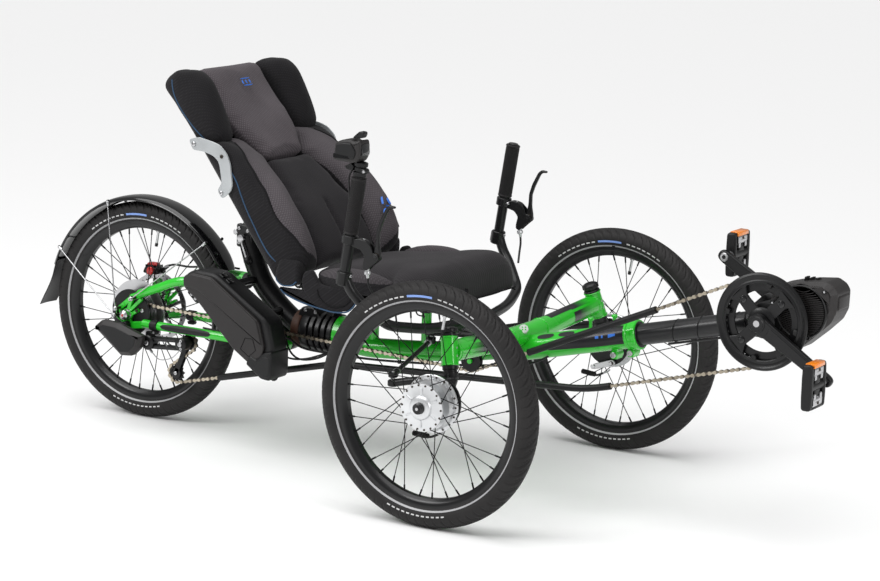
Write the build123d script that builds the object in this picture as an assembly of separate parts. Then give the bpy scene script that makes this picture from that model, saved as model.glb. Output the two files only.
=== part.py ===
from build123d import *
from math import asin, atan2, cos, degrees, hypot, pi, radians, sin, sqrt, tan
import os

# Recumbent tadpole e-tricycle: two steered wheels in front, one sprung and driven wheel behind.
# Millimetres, +X forward, +Y to the rider's left, +Z up. Everything is drawn with x measured from the
# front axle line, and each piece is moved forward by FRONT_AXLE_X when it is written, which puts the
# origin on the ground under the middle of the whole tricycle.

# ---- driving dimensions ----
FRONT_AXLE_X = 278.5
TRACK = 795.0
WHEELBASE = 1004.0
TYRE_RADIUS = 250.0
TYRE_WIDTH = 47.0
RIM_RADIUS = 206.0
RIM_BED_RADIUS = 193.0
RIM_WIDTH = 27.0
SPOKES_PER_WHEEL = 36
AXLE_HEIGHT = TYRE_RADIUS

BOOM_RADIUS = 22.25
BOOM_SLOPE = 0.242
BOOM_REFERENCE = (261.0, 362.0)
BOOM_START_X = 60.0
BOOM_END_X = 521.0
COLLAR_X = 262.0
SPINE_RADIUS = 26.0
REAR_SPINE_RADIUS = 22.0

HEAD_CENTRE = (-8.0, 308.5, 344.5)
KINGPIN_TILT = (-0.222, -0.241)
HEAD_HALF_LENGTH = 28.0
KINGPIN_RADIUS = 8.0
RUNNING_CLEARANCE = 0.05
FACE_GAP = 0.3

CRANK_CENTRE = (558.0, 438.0)
MOTOR_CENTRE = (634.0, 465.0)
CRANK_LENGTH = 176.0
CRANK_ANGLE = -32.0
CHAIN_Y = -52.0
CHAIN_PITCH = 12.7
CHAIN_HALF_HEIGHT = 4.0
CHAIN_WIDTH = 6.5
CHAIN_TUBE_RADIUS = 7.4
CHAIN_TUBE_BORE = 5.8
CHAINRING_TEETH = 44
SPROCKET_TEETH = 13
JOCKEY_TEETH = 11
IDLER_TEETH = 11
IDLER_CENTRE = (-106.0, 265.0)
UPPER_JOCKEY = (-846.0, 203.0)
LOWER_JOCKEY = (-876.0, 129.0)

STEER_AXIS_X = -115.0
ARM_END = (-114.0, 350.0, 270.0)
STEER_LEVER_END = (-212.0, 45.0)
LINK_Z = (294.0, 287.0)
LINK_AXIS = (0.102477, 0.012945, 0.994652)
FRONT_POST_X = -252.0

SWING_PIVOT = (-605.0, 228.0)
RECLINE_PIVOT = (-478.0, 402.0)
RECLINE_RADIUS = 250.0
RISER_TOP = (-722.0, 0.0, 455.0)

BAR_Y = 312.0
BAR_BOTTOM = (-264.0, 450.0)
BAR_TOP = (-230.0, 676.0)
BAR_RADIUS = 11.0
GRIP_RADIUS = 15.5

BASE = (Align.CENTER, Align.CENTER, Align.MIN)
SIDES = {"right": -1, "left": 1}


# ---- shape helpers ----
def rod(start, end, radius):
    axis = Vector(*end) - Vector(*start)
    return Plane(origin=start, z_dir=axis) * Cylinder(radius, axis.length, align=BASE)


def tube(start, end, radius, bore):
    return rod(start, end, radius) - rod(start, end, bore)


def cone(start, end, radius_start, radius_end):
    axis = Vector(*end) - Vector(*start)
    return Plane(origin=start, z_dir=axis) * Cone(radius_start, radius_end, axis.length, align=BASE)


def bend_radii(points):
    """Each corner's arc uses 0.45 of its shorter run."""
    spots = [Vector(*point) for point in points]
    radii = []
    for before, corner, after in zip(spots, spots[1:], spots[2:]):
        turn = (corner - before).get_angle(after - corner)
        shorter = min((corner - before).length, (after - corner).length)
        radii.append(0.45 * shorter / tan(radians(turn) / 2))
    return radii


def pipe(points, radius, bore=0):
    path = FilletPolyline(*points, radius=bend_radii(points))
    section = Circle(radius) - Circle(bore) if bore else Circle(radius)
    return sweep(Plane(origin=path @ 0, z_dir=path % 0) * section, path=path)


def plate(outline, y_low, y_high):
    """A flat piece that stands in an XZ plane between two values of y."""
    face = make_face(Polyline(*[(x, y_low, z) for x, z in outline], close=True))
    return extrude(face, y_high - y_low, dir=(0, 1, 0))


def disc(x, z, radius, y_low, y_high):
    return rod((x, y_low, z), (x, y_high, z), radius)


def box(x_low, x_high, y_low, y_high, z_low, z_high):
    size = (x_high - x_low, y_high - y_low, z_high - z_low)
    return Pos((x_low + x_high) / 2, (y_low + y_high) / 2, z_low) * Box(*size, align=BASE)


def turned(profile):
    """Solid of revolution about the Y axis from (radius, y) points."""
    face = make_face(Polyline(*[(radius, y, 0) for radius, y in profile], close=True))
    return revolve(face, Axis.Y)


def group(pieces):
    return Compound(children=list(pieces))


def mirrored(shape):
    return mirror(shape, about=Plane.XZ)


def boom_point(x):
    return (x, 0.0, BOOM_REFERENCE[1] + BOOM_SLOPE * (x - BOOM_REFERENCE[0]))


def kingpin_point(side, distance):
    """A point on one steering axis, at a distance upwards from the head tube's middle."""
    lean_x, lean_y = KINGPIN_TILT
    rise = (1 - lean_x ** 2 - lean_y ** 2) ** 0.5
    x, y, z = HEAD_CENTRE
    return (x + lean_x * distance, side * (y + lean_y * distance), z + rise * distance)


def pitch_radius(teeth):
    return teeth * CHAIN_PITCH / (2 * pi)


# ---- chain path: circles that the chain wraps, (x, z, radius, +1 outside the loop's turn or -1) ----
CHAIN_CIRCLES = [
    (*CRANK_CENTRE, pitch_radius(CHAINRING_TEETH), 1),
    (105.0, 640.0, 400.0, 1),
    (-385.0, -187.0, 400.0, -1),
    (*LOWER_JOCKEY, pitch_radius(JOCKEY_TEETH), 1),
    (*UPPER_JOCKEY, pitch_radius(JOCKEY_TEETH), -1),
    (-WHEELBASE, AXLE_HEIGHT, pitch_radius(SPROCKET_TEETH), 1),
    (*IDLER_CENTRE, pitch_radius(IDLER_TEETH), -1),
]


def tangent_points(first, second, offset):
    """Ends of the straight run from one circle to the next, moved sideways by offset."""
    x1, z1, r1, side1 = first
    x2, z2, r2, side2 = second
    reach1 = side1 * r1 + offset
    reach2 = side2 * r2 + offset
    length = hypot(x2 - x1, z2 - z1)
    angle = atan2(z2 - z1, x2 - x1) - asin((reach1 - reach2) / length)
    normal = (-sin(angle), cos(angle))
    return ((x1 + reach1 * normal[0], z1 + reach1 * normal[1]),
            (x2 + reach2 * normal[0], z2 + reach2 * normal[1]))


def wrap_arc(circle, start, end, offset):
    """The arc that follows one circle between two of its tangent points."""
    x, z, radius, side = circle
    begin = atan2(start[1] - z, start[0] - x)
    turn = (begin - atan2(end[1] - z, end[0] - x)) * side % (2 * pi)
    middle = begin - side * turn / 2
    reach = abs(side * radius + offset)
    centre = (x + reach * cos(middle), z + reach * sin(middle))
    return ThreePointArc(*[(px, CHAIN_Y, pz) for px, pz in (start, centre, end)])


def chain_loop(offset):
    count = len(CHAIN_CIRCLES)
    runs = [tangent_points(CHAIN_CIRCLES[i], CHAIN_CIRCLES[(i + 1) % count], offset) for i in range(count)]
    edges = []
    for index, (start, end) in enumerate(runs):
        edges.append(wrap_arc(CHAIN_CIRCLES[index], runs[index - 1][1], start, offset))
        edges.append(Line((start[0], CHAIN_Y, start[1]), (end[0], CHAIN_Y, end[1])))
    return runs, edges


# ---- frame ----
def main_frame():
    spine = pipe([boom_point(COLLAR_X - 10), boom_point(-5), (-216, 0, 259), (-400, 0, 244), (-457, 0, 250)],
                 REAR_SPINE_RADIUS)
    frame = spine + rod(boom_point(-5), boom_point(COLLAR_X), SPINE_RADIUS)
    frame += rod(boom_point(COLLAR_X - 18), boom_point(COLLAR_X), SPINE_RADIUS + 4)
    frame += pipe([(-9, 300, 342), (-12, 70, 326), (-12, -70, 326), (-9, -300, 342)], 22)
    frame += rod((STEER_AXIS_X, 0, 262), (STEER_AXIS_X, 0, 304.5), 15)
    frame += rod((STEER_AXIS_X, 0, 300), (STEER_AXIS_X, 0, 364), 10)
    for x, foot in ((FRONT_POST_X, 252), (-385, 245)):
        frame += rod((x, 0, foot), (x, 0, 378.5), 11)
    frame += rod((-452, 0, 263), (-469.7, 0, 263), 42)
    frame += rod((IDLER_CENTRE[0], 0, IDLER_CENTRE[1]), (IDLER_CENTRE[0], CHAIN_Y - 12, IDLER_CENTRE[1]), 5)
    for x in (COLLAR_X - 14, COLLAR_X - 52):
        px, _, pz = boom_point(x)
        frame += box(px - 6, px + 6, -13, 13, pz - 44, pz - 22)
    frame -= rod(boom_point(BOOM_START_X - 45), boom_point(COLLAR_X + 5), BOOM_RADIUS + RUNNING_CLEARANCE)
    for side in SIDES.values():
        low = kingpin_point(side, -HEAD_HALF_LENGTH)
        high = kingpin_point(side, HEAD_HALF_LENGTH)
        frame += rod(low, high, 17.5)
        frame -= rod(low, high, KINGPIN_RADIUS + RUNNING_CLEARANCE)
    return frame


def clamp_bolts():
    bolts = []
    for x in (COLLAR_X - 14, COLLAR_X - 52):
        px, _, pz = boom_point(x)
        for side in SIDES.values():
            bolts.append(rod((px, side * 13, pz - 35), (px, side * 19, pz - 35), 5))
    return group(bolts)


def rear_riser():
    riser = pipe([(-540, 0, 264), (-605, 0, 284), (-683, 0, 347), (-707, 0, 415), RISER_TOP], 24)
    riser += rod((-470, 0, 263), (-556, 0, 263), 45)
    for x in (-482, -498, -514, -530):
        riser -= tube((x, 0, 263), (x - 5, 0, 263), 46, 38)
    x, z = SWING_PIVOT
    riser += plate([(x - 20, z + 60), (x - 14, z - 14), (x + 14, z - 14), (x + 20, z + 60)], -13, 13)
    riser += disc(x, z, 17, -13, 13)
    riser += rod((-690, 0, 362), (-690, -92, 362), 9)
    riser += rod((-620, 0, 300), (-620, -92, 300), 9)
    for side in SIDES.values():
        low, high = sorted((side * 4.4, side * 18))
        riser += plate([(-742, 430), (-700, 430), (-704, 478), (-742, 482)], low, high)
    riser += rod((-745, -18, 462), (-745, 18, 462), 6)
    riser -= recline_ring(14.0, -4.4, 4.4)
    riser -= disc(x, z, KINGPIN_RADIUS + RUNNING_CLEARANCE, -14, 14)
    return riser


def recline_ring(width, y_low, y_high):
    """Ring round the recline pivot in which the recline rail moves."""
    x, z = RECLINE_PIVOT
    outer = disc(x, z, RECLINE_RADIUS + width / 2, y_low, y_high)
    return outer - disc(x, z, RECLINE_RADIUS - width / 2, y_low - 1, y_high + 1)


def recline_lever():
    lever = disc(-722, 452, 8, -33, -24.4)
    lever += rod((-722, -29, 452), (-700, -35, 408), 3.5)
    return lever + Pos(-699, -35, 405) * Sphere(9)


def elastomer():
    return rod((-716.5, 0, 352), (-727.5, 0, 352), 17)


def seat_base_frame():
    corners = [(-445, 150, 388), (-430, 166, 388), (-196, 166, 388), (-178, 148, 388),
               (-178, -148, 388), (-196, -166, 388), (-430, -166, 388), (-445, -150, 388)]
    frame = pipe(corners, 9)
    for x in (FRONT_POST_X, -385):
        frame += rod((x, -160, 388), (x, 160, 388), 8)
        frame += disc_flat(x, 0, 20, 378.5, 386)
    x, z = RECLINE_PIVOT
    for side in SIDES.values():
        frame += rod((-445, side * 150, 386), (x + 8, side * 150, 392), 9)
        frame += disc(x, z, 13, *sorted((side * 141, side * 159)))
        frame += disc(x, z, 7, *sorted((side * 120, side * 159)))
    return frame


def disc_flat(x, y, radius, z_low, z_high):
    return rod((x, y, z_low), (x, y, z_high), radius)


def seat_pads():
    front = [(-160, 399), (-146, 415), (-147, 440), (-170, 456)]
    base = plate([(-432, 399)] + front + [(-310, 446), (-455, 428), (-455, 418)], -158, 158)
    base += plate([(-229, 399)] + front + [(-229, 452)], -190, 190)
    base += plate([(-156.5, 374), (-146, 374), (-146, 420), (-156.5, 420)], -190, 190)
    hips = []
    for side in SIDES.values():
        outline = [(-415, 399), (-250, 399), (-232, 430), (-330, 462), (-400, 458), (-425, 430)]
        hip = plate(outline, *sorted((side * 159, side * 198)))
        skirt = [(-415, 405), (-427, 388), (-404, 363), (-362, 357), (-322, 366), (-302, 394), (-298, 405)]
        hips.append(hip + plate(skirt, *sorted((side * 187, side * 197))))
    return group([base] + hips)


# ---- backrest, drawn standing at the seat crease: local X forward, Z up the back ----
BACK_PLANE = Plane(origin=(-464, 0, 425), x_dir=(0.8015, 0, 0.598), z_dir=(-0.598, 0, 0.8015))


def to_back(x, z):
    """A side-view point of the whole tricycle in the backrest's own frame."""
    spot = BACK_PLANE.to_local_coords(Vector(x, 0, z))
    return spot.X, spot.Z


def back_frame():
    x = -53
    hoop = [(x, 150, 20), (x, 172, 60), (x, 172, 440), (x, 120, 500),
            (x, -120, 500), (x, -172, 440), (x, -172, 60), (x, -150, 20)]
    frame = pipe(hoop, 9)
    for z in (70, 231, 420):
        frame += rod((x, -168, z), (x, 168, z), 8)
    px, pz = to_back(*RECLINE_PIVOT)
    for side in SIDES.values():
        frame += rod((x, side * 150, 20), (x + 6, side * 131, 0), 9)
        frame += rod((x + 6, side * 131, 0), (px, side * 131, pz), 8)
        hub = disc(px, pz, 13, *sorted((side * 122, side * 140.7)))
        frame += hub
        frame -= disc(px, pz, 7 + RUNNING_CLEARANCE, *sorted((side * 119, side * 141)))
    frame = BACK_PLANE * frame
    rail = recline_ring(13.0, -4, 4) & recline_sector(131, 178, -4, 4)
    return frame + rail


def recline_sector(start, end, y_low, y_high):
    x, z = RECLINE_PIVOT
    reach = RECLINE_RADIUS + 60
    angles = (start, (start + end) / 2, end)
    rim = [(x + reach * cos(radians(angle)), z + reach * sin(radians(angle))) for angle in angles]
    return plate([(x, z)] + rim, y_low, y_high)


def back_cushion():
    outline = [(-36, 16), (12, 16), (26, 45), (31, 125), (24, 185), (9, 276), (3, 390), (0, 485), (-8, 513), (-36, 513)]
    centre = plate(outline, -116, 116)
    return BACK_PLANE * centre


def back_side_pads():
    pads = []
    lower = [(-40, 18), (30, 18), (48, 35), (58, 94), (52, 177), (24, 270), (-6, 326), (-40, 326)]
    upper = [(-40, 330), (0, 330), (26, 400), (36, 455), (20, 503), (-40, 513)]
    for side in SIDES.values():
        pads.append(plate(lower, *sorted((side * 117, side * 203))))
        pads.append(plate(upper, *sorted((side * 117, side * 196))))
    return BACK_PLANE * group(pads)


def back_brackets():
    outline = [(-58, 374), (-36, 366), (0, 328), (6, 290), (-20, 236), (-58, 226),
               (-58, 248), (-38, 254), (-20, 296), (-22, 312), (-62, 352)]
    arms = []
    for side in SIDES.values():
        arms.append(plate(outline, *sorted((side * 204, side * 208))))
        for x, z in ((-53, 360), (-53, 237)):
            arms.append(disc(x, z, 6, *sorted((side * 181.5, side * 203.9))))
    return BACK_PLANE * group(arms)


# ---- boom, motor and cranks ----
def boom_tube():
    boom = rod(boom_point(BOOM_START_X), boom_point(BOOM_END_X), BOOM_RADIUS)
    boom += plate([(500, 402), (540, 392), (557, 398), (557, 478), (540, 486), (505, 452)], -14, 14)
    boom -= disc(*CRANK_CENTRE, 12, -15, 15)
    boom -= rod(boom_point(BOOM_START_X - 5), boom_point(BOOM_END_X - 40), BOOM_RADIUS - 2.5)
    return boom


def motor_housing():
    x, z = CRANK_CENTRE
    body = [(560, 400), (598, 383), (624, 385), (664, 420), (692, 448), (702, 470), (703, 507),
            (695, 519), (678, 528), (640, 524), (600, 516), (572, 508), (560, 478)]
    housing = plate(body, -40, 44)
    housing += disc(x, z, 36, -40, -14.3) + disc(x, z, 36, 14.3, 44)
    housing += disc(*MOTOR_CENTRE, 52, -44, -38) + disc(*MOTOR_CENTRE, 46, 44, 52)
    housing -= disc(x, z, 9 + RUNNING_CLEARANCE, -60, 60)
    motor_x, motor_z = MOTOR_CENTRE
    for row in range(-6, 7):
        half = sqrt(49.0 ** 2 - (7.0 * row) ** 2)
        level = motor_z + 7.0 * row
        housing += box(motor_x - half, motor_x + half, -47, -43, level - 1, level + 1)
    return housing


def toothed_disc(x, z, teeth, bore, y_low, y_high, depth=6.0):
    """A sprocket whose teeth stay clear of the chain that wraps it."""
    outer = pitch_radius(teeth) - CHAIN_HALF_HEIGHT - 0.4
    points = []
    for tooth in range(teeth):
        for part, radius in ((0.0, outer), (0.35, outer), (0.5, outer - depth), (0.85, outer - depth)):
            angle = 2 * pi * (tooth + part) / teeth
            points.append((x + radius * cos(angle), z + radius * sin(angle)))
    return plate(points, y_low, y_high) - disc(x, z, bore, y_low - 1, y_high + 1)


def chainring():
    x, z = CRANK_CENTRE
    ring = toothed_disc(x, z, CHAINRING_TEETH, 62, CHAIN_Y - 2, CHAIN_Y + 2)
    for step in range(4):
        angle = radians(45 + 90 * step)
        spot = (x + 58 * cos(angle), z + 58 * sin(angle))
        ring += disc(*spot, 9, CHAIN_Y - 2, CHAIN_Y + 2)
    return ring


def chainguard():
    x, z = CRANK_CENTRE
    low, high = CHAIN_Y - 10, CHAIN_Y - 6
    guard = disc(x, z, 98, low, high) - disc(x, z, 78, low, high)
    guard += disc(x, z, 26, low, high + 3.5)
    for step in range(4):
        angle = radians(45 + 90 * step)
        inner = [(x + 20 * cos(angle + turn), z + 20 * sin(angle + turn)) for turn in (-0.6, 0.6)]
        outer = [(x + 82 * cos(angle + turn), z + 82 * sin(angle + turn)) for turn in (0.22, -0.22)]
        guard += plate(inner + outer, low, high)
    return guard - disc(x, z, 9 + FACE_GAP, low - 1, high + 5)


def crank_end(side):
    """Pedal axle end of one crank, as x and z; the right crank points down and forwards."""
    x, z = CRANK_CENTRE
    angle = radians(CRANK_ANGLE)
    return x - side * CRANK_LENGTH * cos(angle), z - side * CRANK_LENGTH * sin(angle)


def crank_arms():
    x, z = CRANK_CENTRE
    arms = disc(x, z, 9, -86, 86)
    for side in SIDES.values():
        ex, ez = crank_end(side)
        bow = Vector(ex - x, 0, ez - z).normalized()
        across = Vector(-bow.Z, 0, bow.X)
        outline = [(x + across.X * 17, z + across.Z * 17), (ex + across.X * 13, ez + across.Z * 13),
                   (ex - across.X * 13, ez - across.Z * 13), (x - across.X * 17, z - across.Z * 17)]
        span = sorted((side * 70, side * 84))
        arms += plate(outline, *span) + disc(x, z, 19, *span) + disc(ex, ez, 14, *span)
        arms += disc(ex, ez, 7, *sorted((side * 84, side * 94)))
        arms += disc(ex, ez, 4, *sorted((side * 94, side * 163)))
    return arms


def pedal(side):
    x, z = crank_end(side)
    body = box(x - 11, x + 11, 98, 170, z - 46, z + 46)
    body -= box(x - 14, x + 14, 107, 124, z - 37, z - 12)
    body -= box(x - 14, x + 14, 144, 161, z - 37, z - 12)
    body -= box(x - 14, x + 14, 107, 124, z + 12, z + 37)
    body -= box(x - 14, x + 14, 144, 161, z + 12, z + 37)
    body -= disc(x, z, 4 + RUNNING_CLEARANCE, 90, 164)
    return body if side > 0 else mirrored(body)


# ---- chain drive ----
def chain():
    _, outside = chain_loop(CHAIN_HALF_HEIGHT)
    _, inside = chain_loop(-CHAIN_HALF_HEIGHT)
    band = make_face(Wire(outside)) - make_face(Wire(inside))
    return Pos(0, -CHAIN_WIDTH / 2, 0) * extrude(band, CHAIN_WIDTH, dir=(0, 1, 0))


def run_line(run):
    """Slope of one straight run, and its z at any x."""
    (x1, z1), (x2, z2) = run
    slope = (z2 - z1) / (x2 - x1)
    return lambda x: (x, CHAIN_Y, z1 + slope * (x - x1))


def crossing(first, second):
    """The corner where two straight runs would meet if the bend between them were sharp."""
    (x1, _, z1), (x2, _, z2) = first(0), first(1)
    (x3, _, z3), (x4, _, z4) = second(0), second(1)
    return first((z3 - z1) / ((z2 - z1) - (z4 - z3)))


def chain_tubes():
    runs, _ = chain_loop(0.0)
    upper = run_line(runs[-1])
    pieces = [tube(upper(30.0), upper(322.0), CHAIN_TUBE_RADIUS, CHAIN_TUBE_BORE)]
    front, middle, rear = [run_line(run) for run in runs[:3]]
    path = FilletPolyline(front(225.0), crossing(front, middle), crossing(middle, rear), rear(-760.0),
                          radius=CHAIN_CIRCLES[1][2])
    mouth = Plane(origin=path @ 0, z_dir=path % 0)
    pieces.append(sweep(mouth * Circle(CHAIN_TUBE_RADIUS), path=path)
                  - sweep(mouth * Circle(CHAIN_TUBE_BORE), path=path))
    return group(pieces)


def idler_wheel():
    x, z = IDLER_CENTRE
    wheel = toothed_disc(x, z, IDLER_TEETH, 5 + RUNNING_CLEARANCE, CHAIN_Y - 2.5, CHAIN_Y + 2.5, 3.0)
    for y in (CHAIN_Y - 6.5, CHAIN_Y + 4):
        wheel += disc(x, z, 23, y, y + 2.5) - disc(x, z, 12, y - 1, y + 4)
    wheel += tube((x, CHAIN_Y - 6.5, z), (x, CHAIN_Y + 6.5, z), 14, 5 + RUNNING_CLEARANCE)
    return wheel


def cassette():
    x, z = -WHEELBASE, AXLE_HEIGHT
    cogs = toothed_disc(x, z, SPROCKET_TEETH, 10, CHAIN_Y - 1, CHAIN_Y + 1, 3.0)
    for index in range(6):
        y = CHAIN_Y + 4.6 + 3.4 * index
        cogs += disc(x, z, 29 + 5.4 * index, y, y + 1.8)
    cogs += disc(x, z, 74, -31.5, -30)
    cogs += tube((x, -58, z), (x, -30, z), 17, 8.5)
    return cogs - disc(x, z, 8.5, -70, 0)


def jockey(centre):
    x, z = centre
    wheel = toothed_disc(x, z, JOCKEY_TEETH, 4 + RUNNING_CLEARANCE, CHAIN_Y - 1.2, CHAIN_Y + 1.2, 3.0)
    return wheel + tube((x, CHAIN_Y - 3.4, z), (x, CHAIN_Y + 3.4, z), 10, 4 + RUNNING_CLEARANCE)


def derailleur_cage():
    (ux, uz), (lx, lz) = UPPER_JOCKEY, LOWER_JOCKEY
    cage = None
    for low in (CHAIN_Y - 6.2, CHAIN_Y + 3.8):
        side = disc(ux, uz, 12, low, low + 2.4) + disc(lx, lz, 12, low, low + 2.4)
        outline = [(ux - 9, uz + 4), (ux + 9, uz - 4), (lx + 9, lz - 4), (lx - 9, lz + 4)]
        side += plate(outline, low, low + 2.4)
        cage = side if cage is None else cage + side
    for x, z in (UPPER_JOCKEY, LOWER_JOCKEY):
        cage += disc(x, z, 4, CHAIN_Y - 6.2, CHAIN_Y + 6.2)
    return cage


def derailleur_body():
    ux, uz = UPPER_JOCKEY
    body = disc(ux, uz, 15, -84, -58.5)
    for offset in (-10, 8):
        body += plate([(-936, 190 + offset), (ux, uz - 5 + offset), (ux, uz + 6 + offset), (-936, 201 + offset)],
                      -83, -73)
    body += disc(-936, 196, 17, -88, -66)
    body += plate([(-952, 192), (-924, 192), (-930, 218), (-950, 218)], -74, -66.5)
    return body


def derailleur_guard():
    outline = [(-1068, 219), (-1045, 238), (-1000, 236), (-930, 215), (-940, 185), (-960, 166), (-992, 163)]
    return plate(outline, -118, -89) + disc(-1000, 228, 8, -89, -74.2)


# ---- sprung rear fork ----
def swingarm():
    px, pz = SWING_PIVOT
    arm = disc(px, pz, 16, -66, -13.3) + disc(px, pz, 16, 13.3, 66) + disc(px, pz, KINGPIN_RADIUS, -66, 66)
    for side in SIDES.values():
        y_low, y_high = sorted((side * 66, side * 74))
        dropout = plate([(-1034, 236), (-1034, 262), (-985, 300), (-955, 312), (-948, 292), (-978, 268),
                         (-986, 250), (-940, 246), (-936, 222), (-997, 219)], y_low, y_high)
        arm += dropout
        arm += rod((-950, side * 70, 234), (-760, side * 70, 234), 10)
        arm += rod((-760, side * 70, 234), (px - 6, side * 56, pz), 10)
        arm += rod((-965, side * 70, 303), (-860, side * 70, 344), 10)
        arm += rod((-860, side * 70, 344), (-738, side * 36, 352), 10)
        arm += rod((-738, side * 36, 352), (px + 4, side * 36, pz + 6), 8)
    arm += rod((-738, -42, 352), (-738, 42, 352), 10)
    arm += rod((-738, 0, 352), (-727.5, 0, 352), 15)
    arm += disc(-WHEELBASE, AXLE_HEIGHT, 6, -84, 84)
    for side in SIDES.values():
        arm += disc(-WHEELBASE, AXLE_HEIGHT, 11, *sorted((side * 74, side * 84)))
    arm += plate([(-1042, 262), (-1034, 330), (-1010, 336), (-998, 300), (-1010, 262)], 66, 72)
    return arm


def caliper():
    body = box(-1046, -998, 49.5, 66, 312, 340)
    body += box(-1046, -998, 36, 49.5, 324, 340)
    body += disc(-1010, 326, 9, 28, 36)
    body -= disc(-WHEELBASE, AXLE_HEIGHT, 81.5, 42, 48.5)
    return body


def mudguard():
    x, z = -WHEELBASE, AXLE_HEIGHT
    shell = turned([(255.5, -31), (261, -24), (264.5, 0), (261, 24), (255.5, 31), (253.5, 30), (258.6, 23),
                    (261.9, 0), (258.6, -23), (253.5, -30)])
    shell = Pos(x, 0, z) * shell
    reach = 400
    angles = [27 + 13.5 * step for step in range(11)]
    wedge = [(x, z)] + [(x + reach * cos(radians(a)), z + reach * sin(radians(a))) for a in angles]
    shell &= plate(wedge, -40, 40)
    tip = radians(angles[-1])
    root_x, root_z = x + 260.5 * cos(tip), z + 260.5 * sin(tip)
    flap = [(root_x + 2, root_z + 6), (root_x - 9, root_z - 34), (root_x - 24, root_z - 66), (root_x - 46, root_z - 92),
            (root_x - 42, root_z - 95), (root_x - 20, root_z - 69), (root_x - 4, root_z - 36), (root_x + 5, root_z)]
    return shell + plate(flap, -28, 28)


def mudguard_stays():
    wires = []
    for side in SIDES.values():
        for angle, foot_x, foot_z in ((110, -1022, 264), (152, -1026, 248), (44, -978, 292)):
            top = (-WHEELBASE + 259 * cos(radians(angle)), side * 32.5, AXLE_HEIGHT + 259 * sin(radians(angle)))
            foot = (foot_x, side * 93, foot_z)
            wires.append(rod(foot, top, 1.6))
            wires.append(disc(foot_x, foot_z, 4, *sorted((side * 74.2, side * 95))))
    return group([wires[i] + wires[i + 1] for i in range(0, len(wires), 2)])


# ---- wheels, drawn at the origin with the outer side towards +Y ----
def tyre():
    outer, half = TYRE_RADIUS, TYRE_WIDTH / 2
    middle = outer - half + 2
    bead = RIM_WIDTH / 2 - 1.2
    profile = [(outer, -6), (outer - 3, -14), (outer - 10, -20.5), (middle, -half), (middle - 10, -21.5),
               (RIM_RADIUS + 2.5, -bead - 2), (RIM_RADIUS + 2.5, -bead), (RIM_RADIUS - 8, -bead),
               (RIM_RADIUS - 8, -9)]
    lining = [(RIM_RADIUS + 6, -11), (middle, -18), (outer - 9, -12), (outer - 6, 0)]
    mirror_profile = [(r, -y) for r, y in reversed(profile)]
    mirror_lining = [(r, -y) for r, y in reversed(lining[:-1])]
    return turned(profile + lining + mirror_lining + mirror_profile)


def rim():
    outer, bed, half = RIM_RADIUS, RIM_BED_RADIUS, RIM_WIDTH / 2
    walls = [(outer + 2, half + 1.4), (outer + 2, half - 0.9), (bed + 4, half - 1.2), (bed + 4, 1 - half + 0.2),
             (outer + 2, 0.9 - half), (outer + 2, -half - 1.4), (bed + 3, -half), (bed - 5, -8),
             (bed - 5, 8), (bed + 3, half)]
    ring = turned(walls)
    ring += rod((0, 0, bed - 4), (0, 0, bed - 34), 3)
    return Rot(0, 10, 0) * ring


def front_hub():
    return turned([(10, -27), (50, -27), (55, -22), (55, -4), (50, 2), (24, 6), (22, 16), (24, 21), (46, 23),
                   (46, 26.5), (24, 28), (18, 34), (10, 34)])


def rear_hub():
    return turned([(6.3, -28), (33, -28), (33, -25), (20, -22), (17, 0), (20, 24), (33, 28), (33, 31),
                   (24, 32), (24, 40), (6.3, 40)])


def spokes(flanges):
    """Straight spokes; each flange is (radius, y), and neighbours lean opposite ways."""
    wires = []
    for index in range(SPOKES_PER_WHEEL):
        radius, y = flanges[index % 2]
        lean = 1 if index // 2 % 2 else -1
        rim_angle = 2 * pi * (index + 0.5) / SPOKES_PER_WHEEL
        hub_angle = rim_angle + lean * radians(34)
        foot = (radius * cos(hub_angle), y + 2.2 * lean, radius * sin(hub_angle))
        reach = RIM_BED_RADIUS - 5.4
        top = (reach * cos(rim_angle), (3 if y > 0 else -3) + 0.7 * lean, reach * sin(rim_angle))
        wires.append(rod(foot, top, 1.0))
    return group(wires)


def disc_rotor():
    rotor = disc(0, 0, 80, 44.5, 46.3) - disc(0, 0, 64, 44, 47)
    rotor += disc(0, 0, 24, 40, 46.3)
    for step in range(6):
        angle = 60 * step
        rotor += Rot(0, angle, 0) * box(20, 66, -4, 4, 0, 1.8).rotate(Axis.X, 90).translate((0, 46.3, 0))
    return rotor - disc(0, 0, 6.3, 39, 48)


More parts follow.
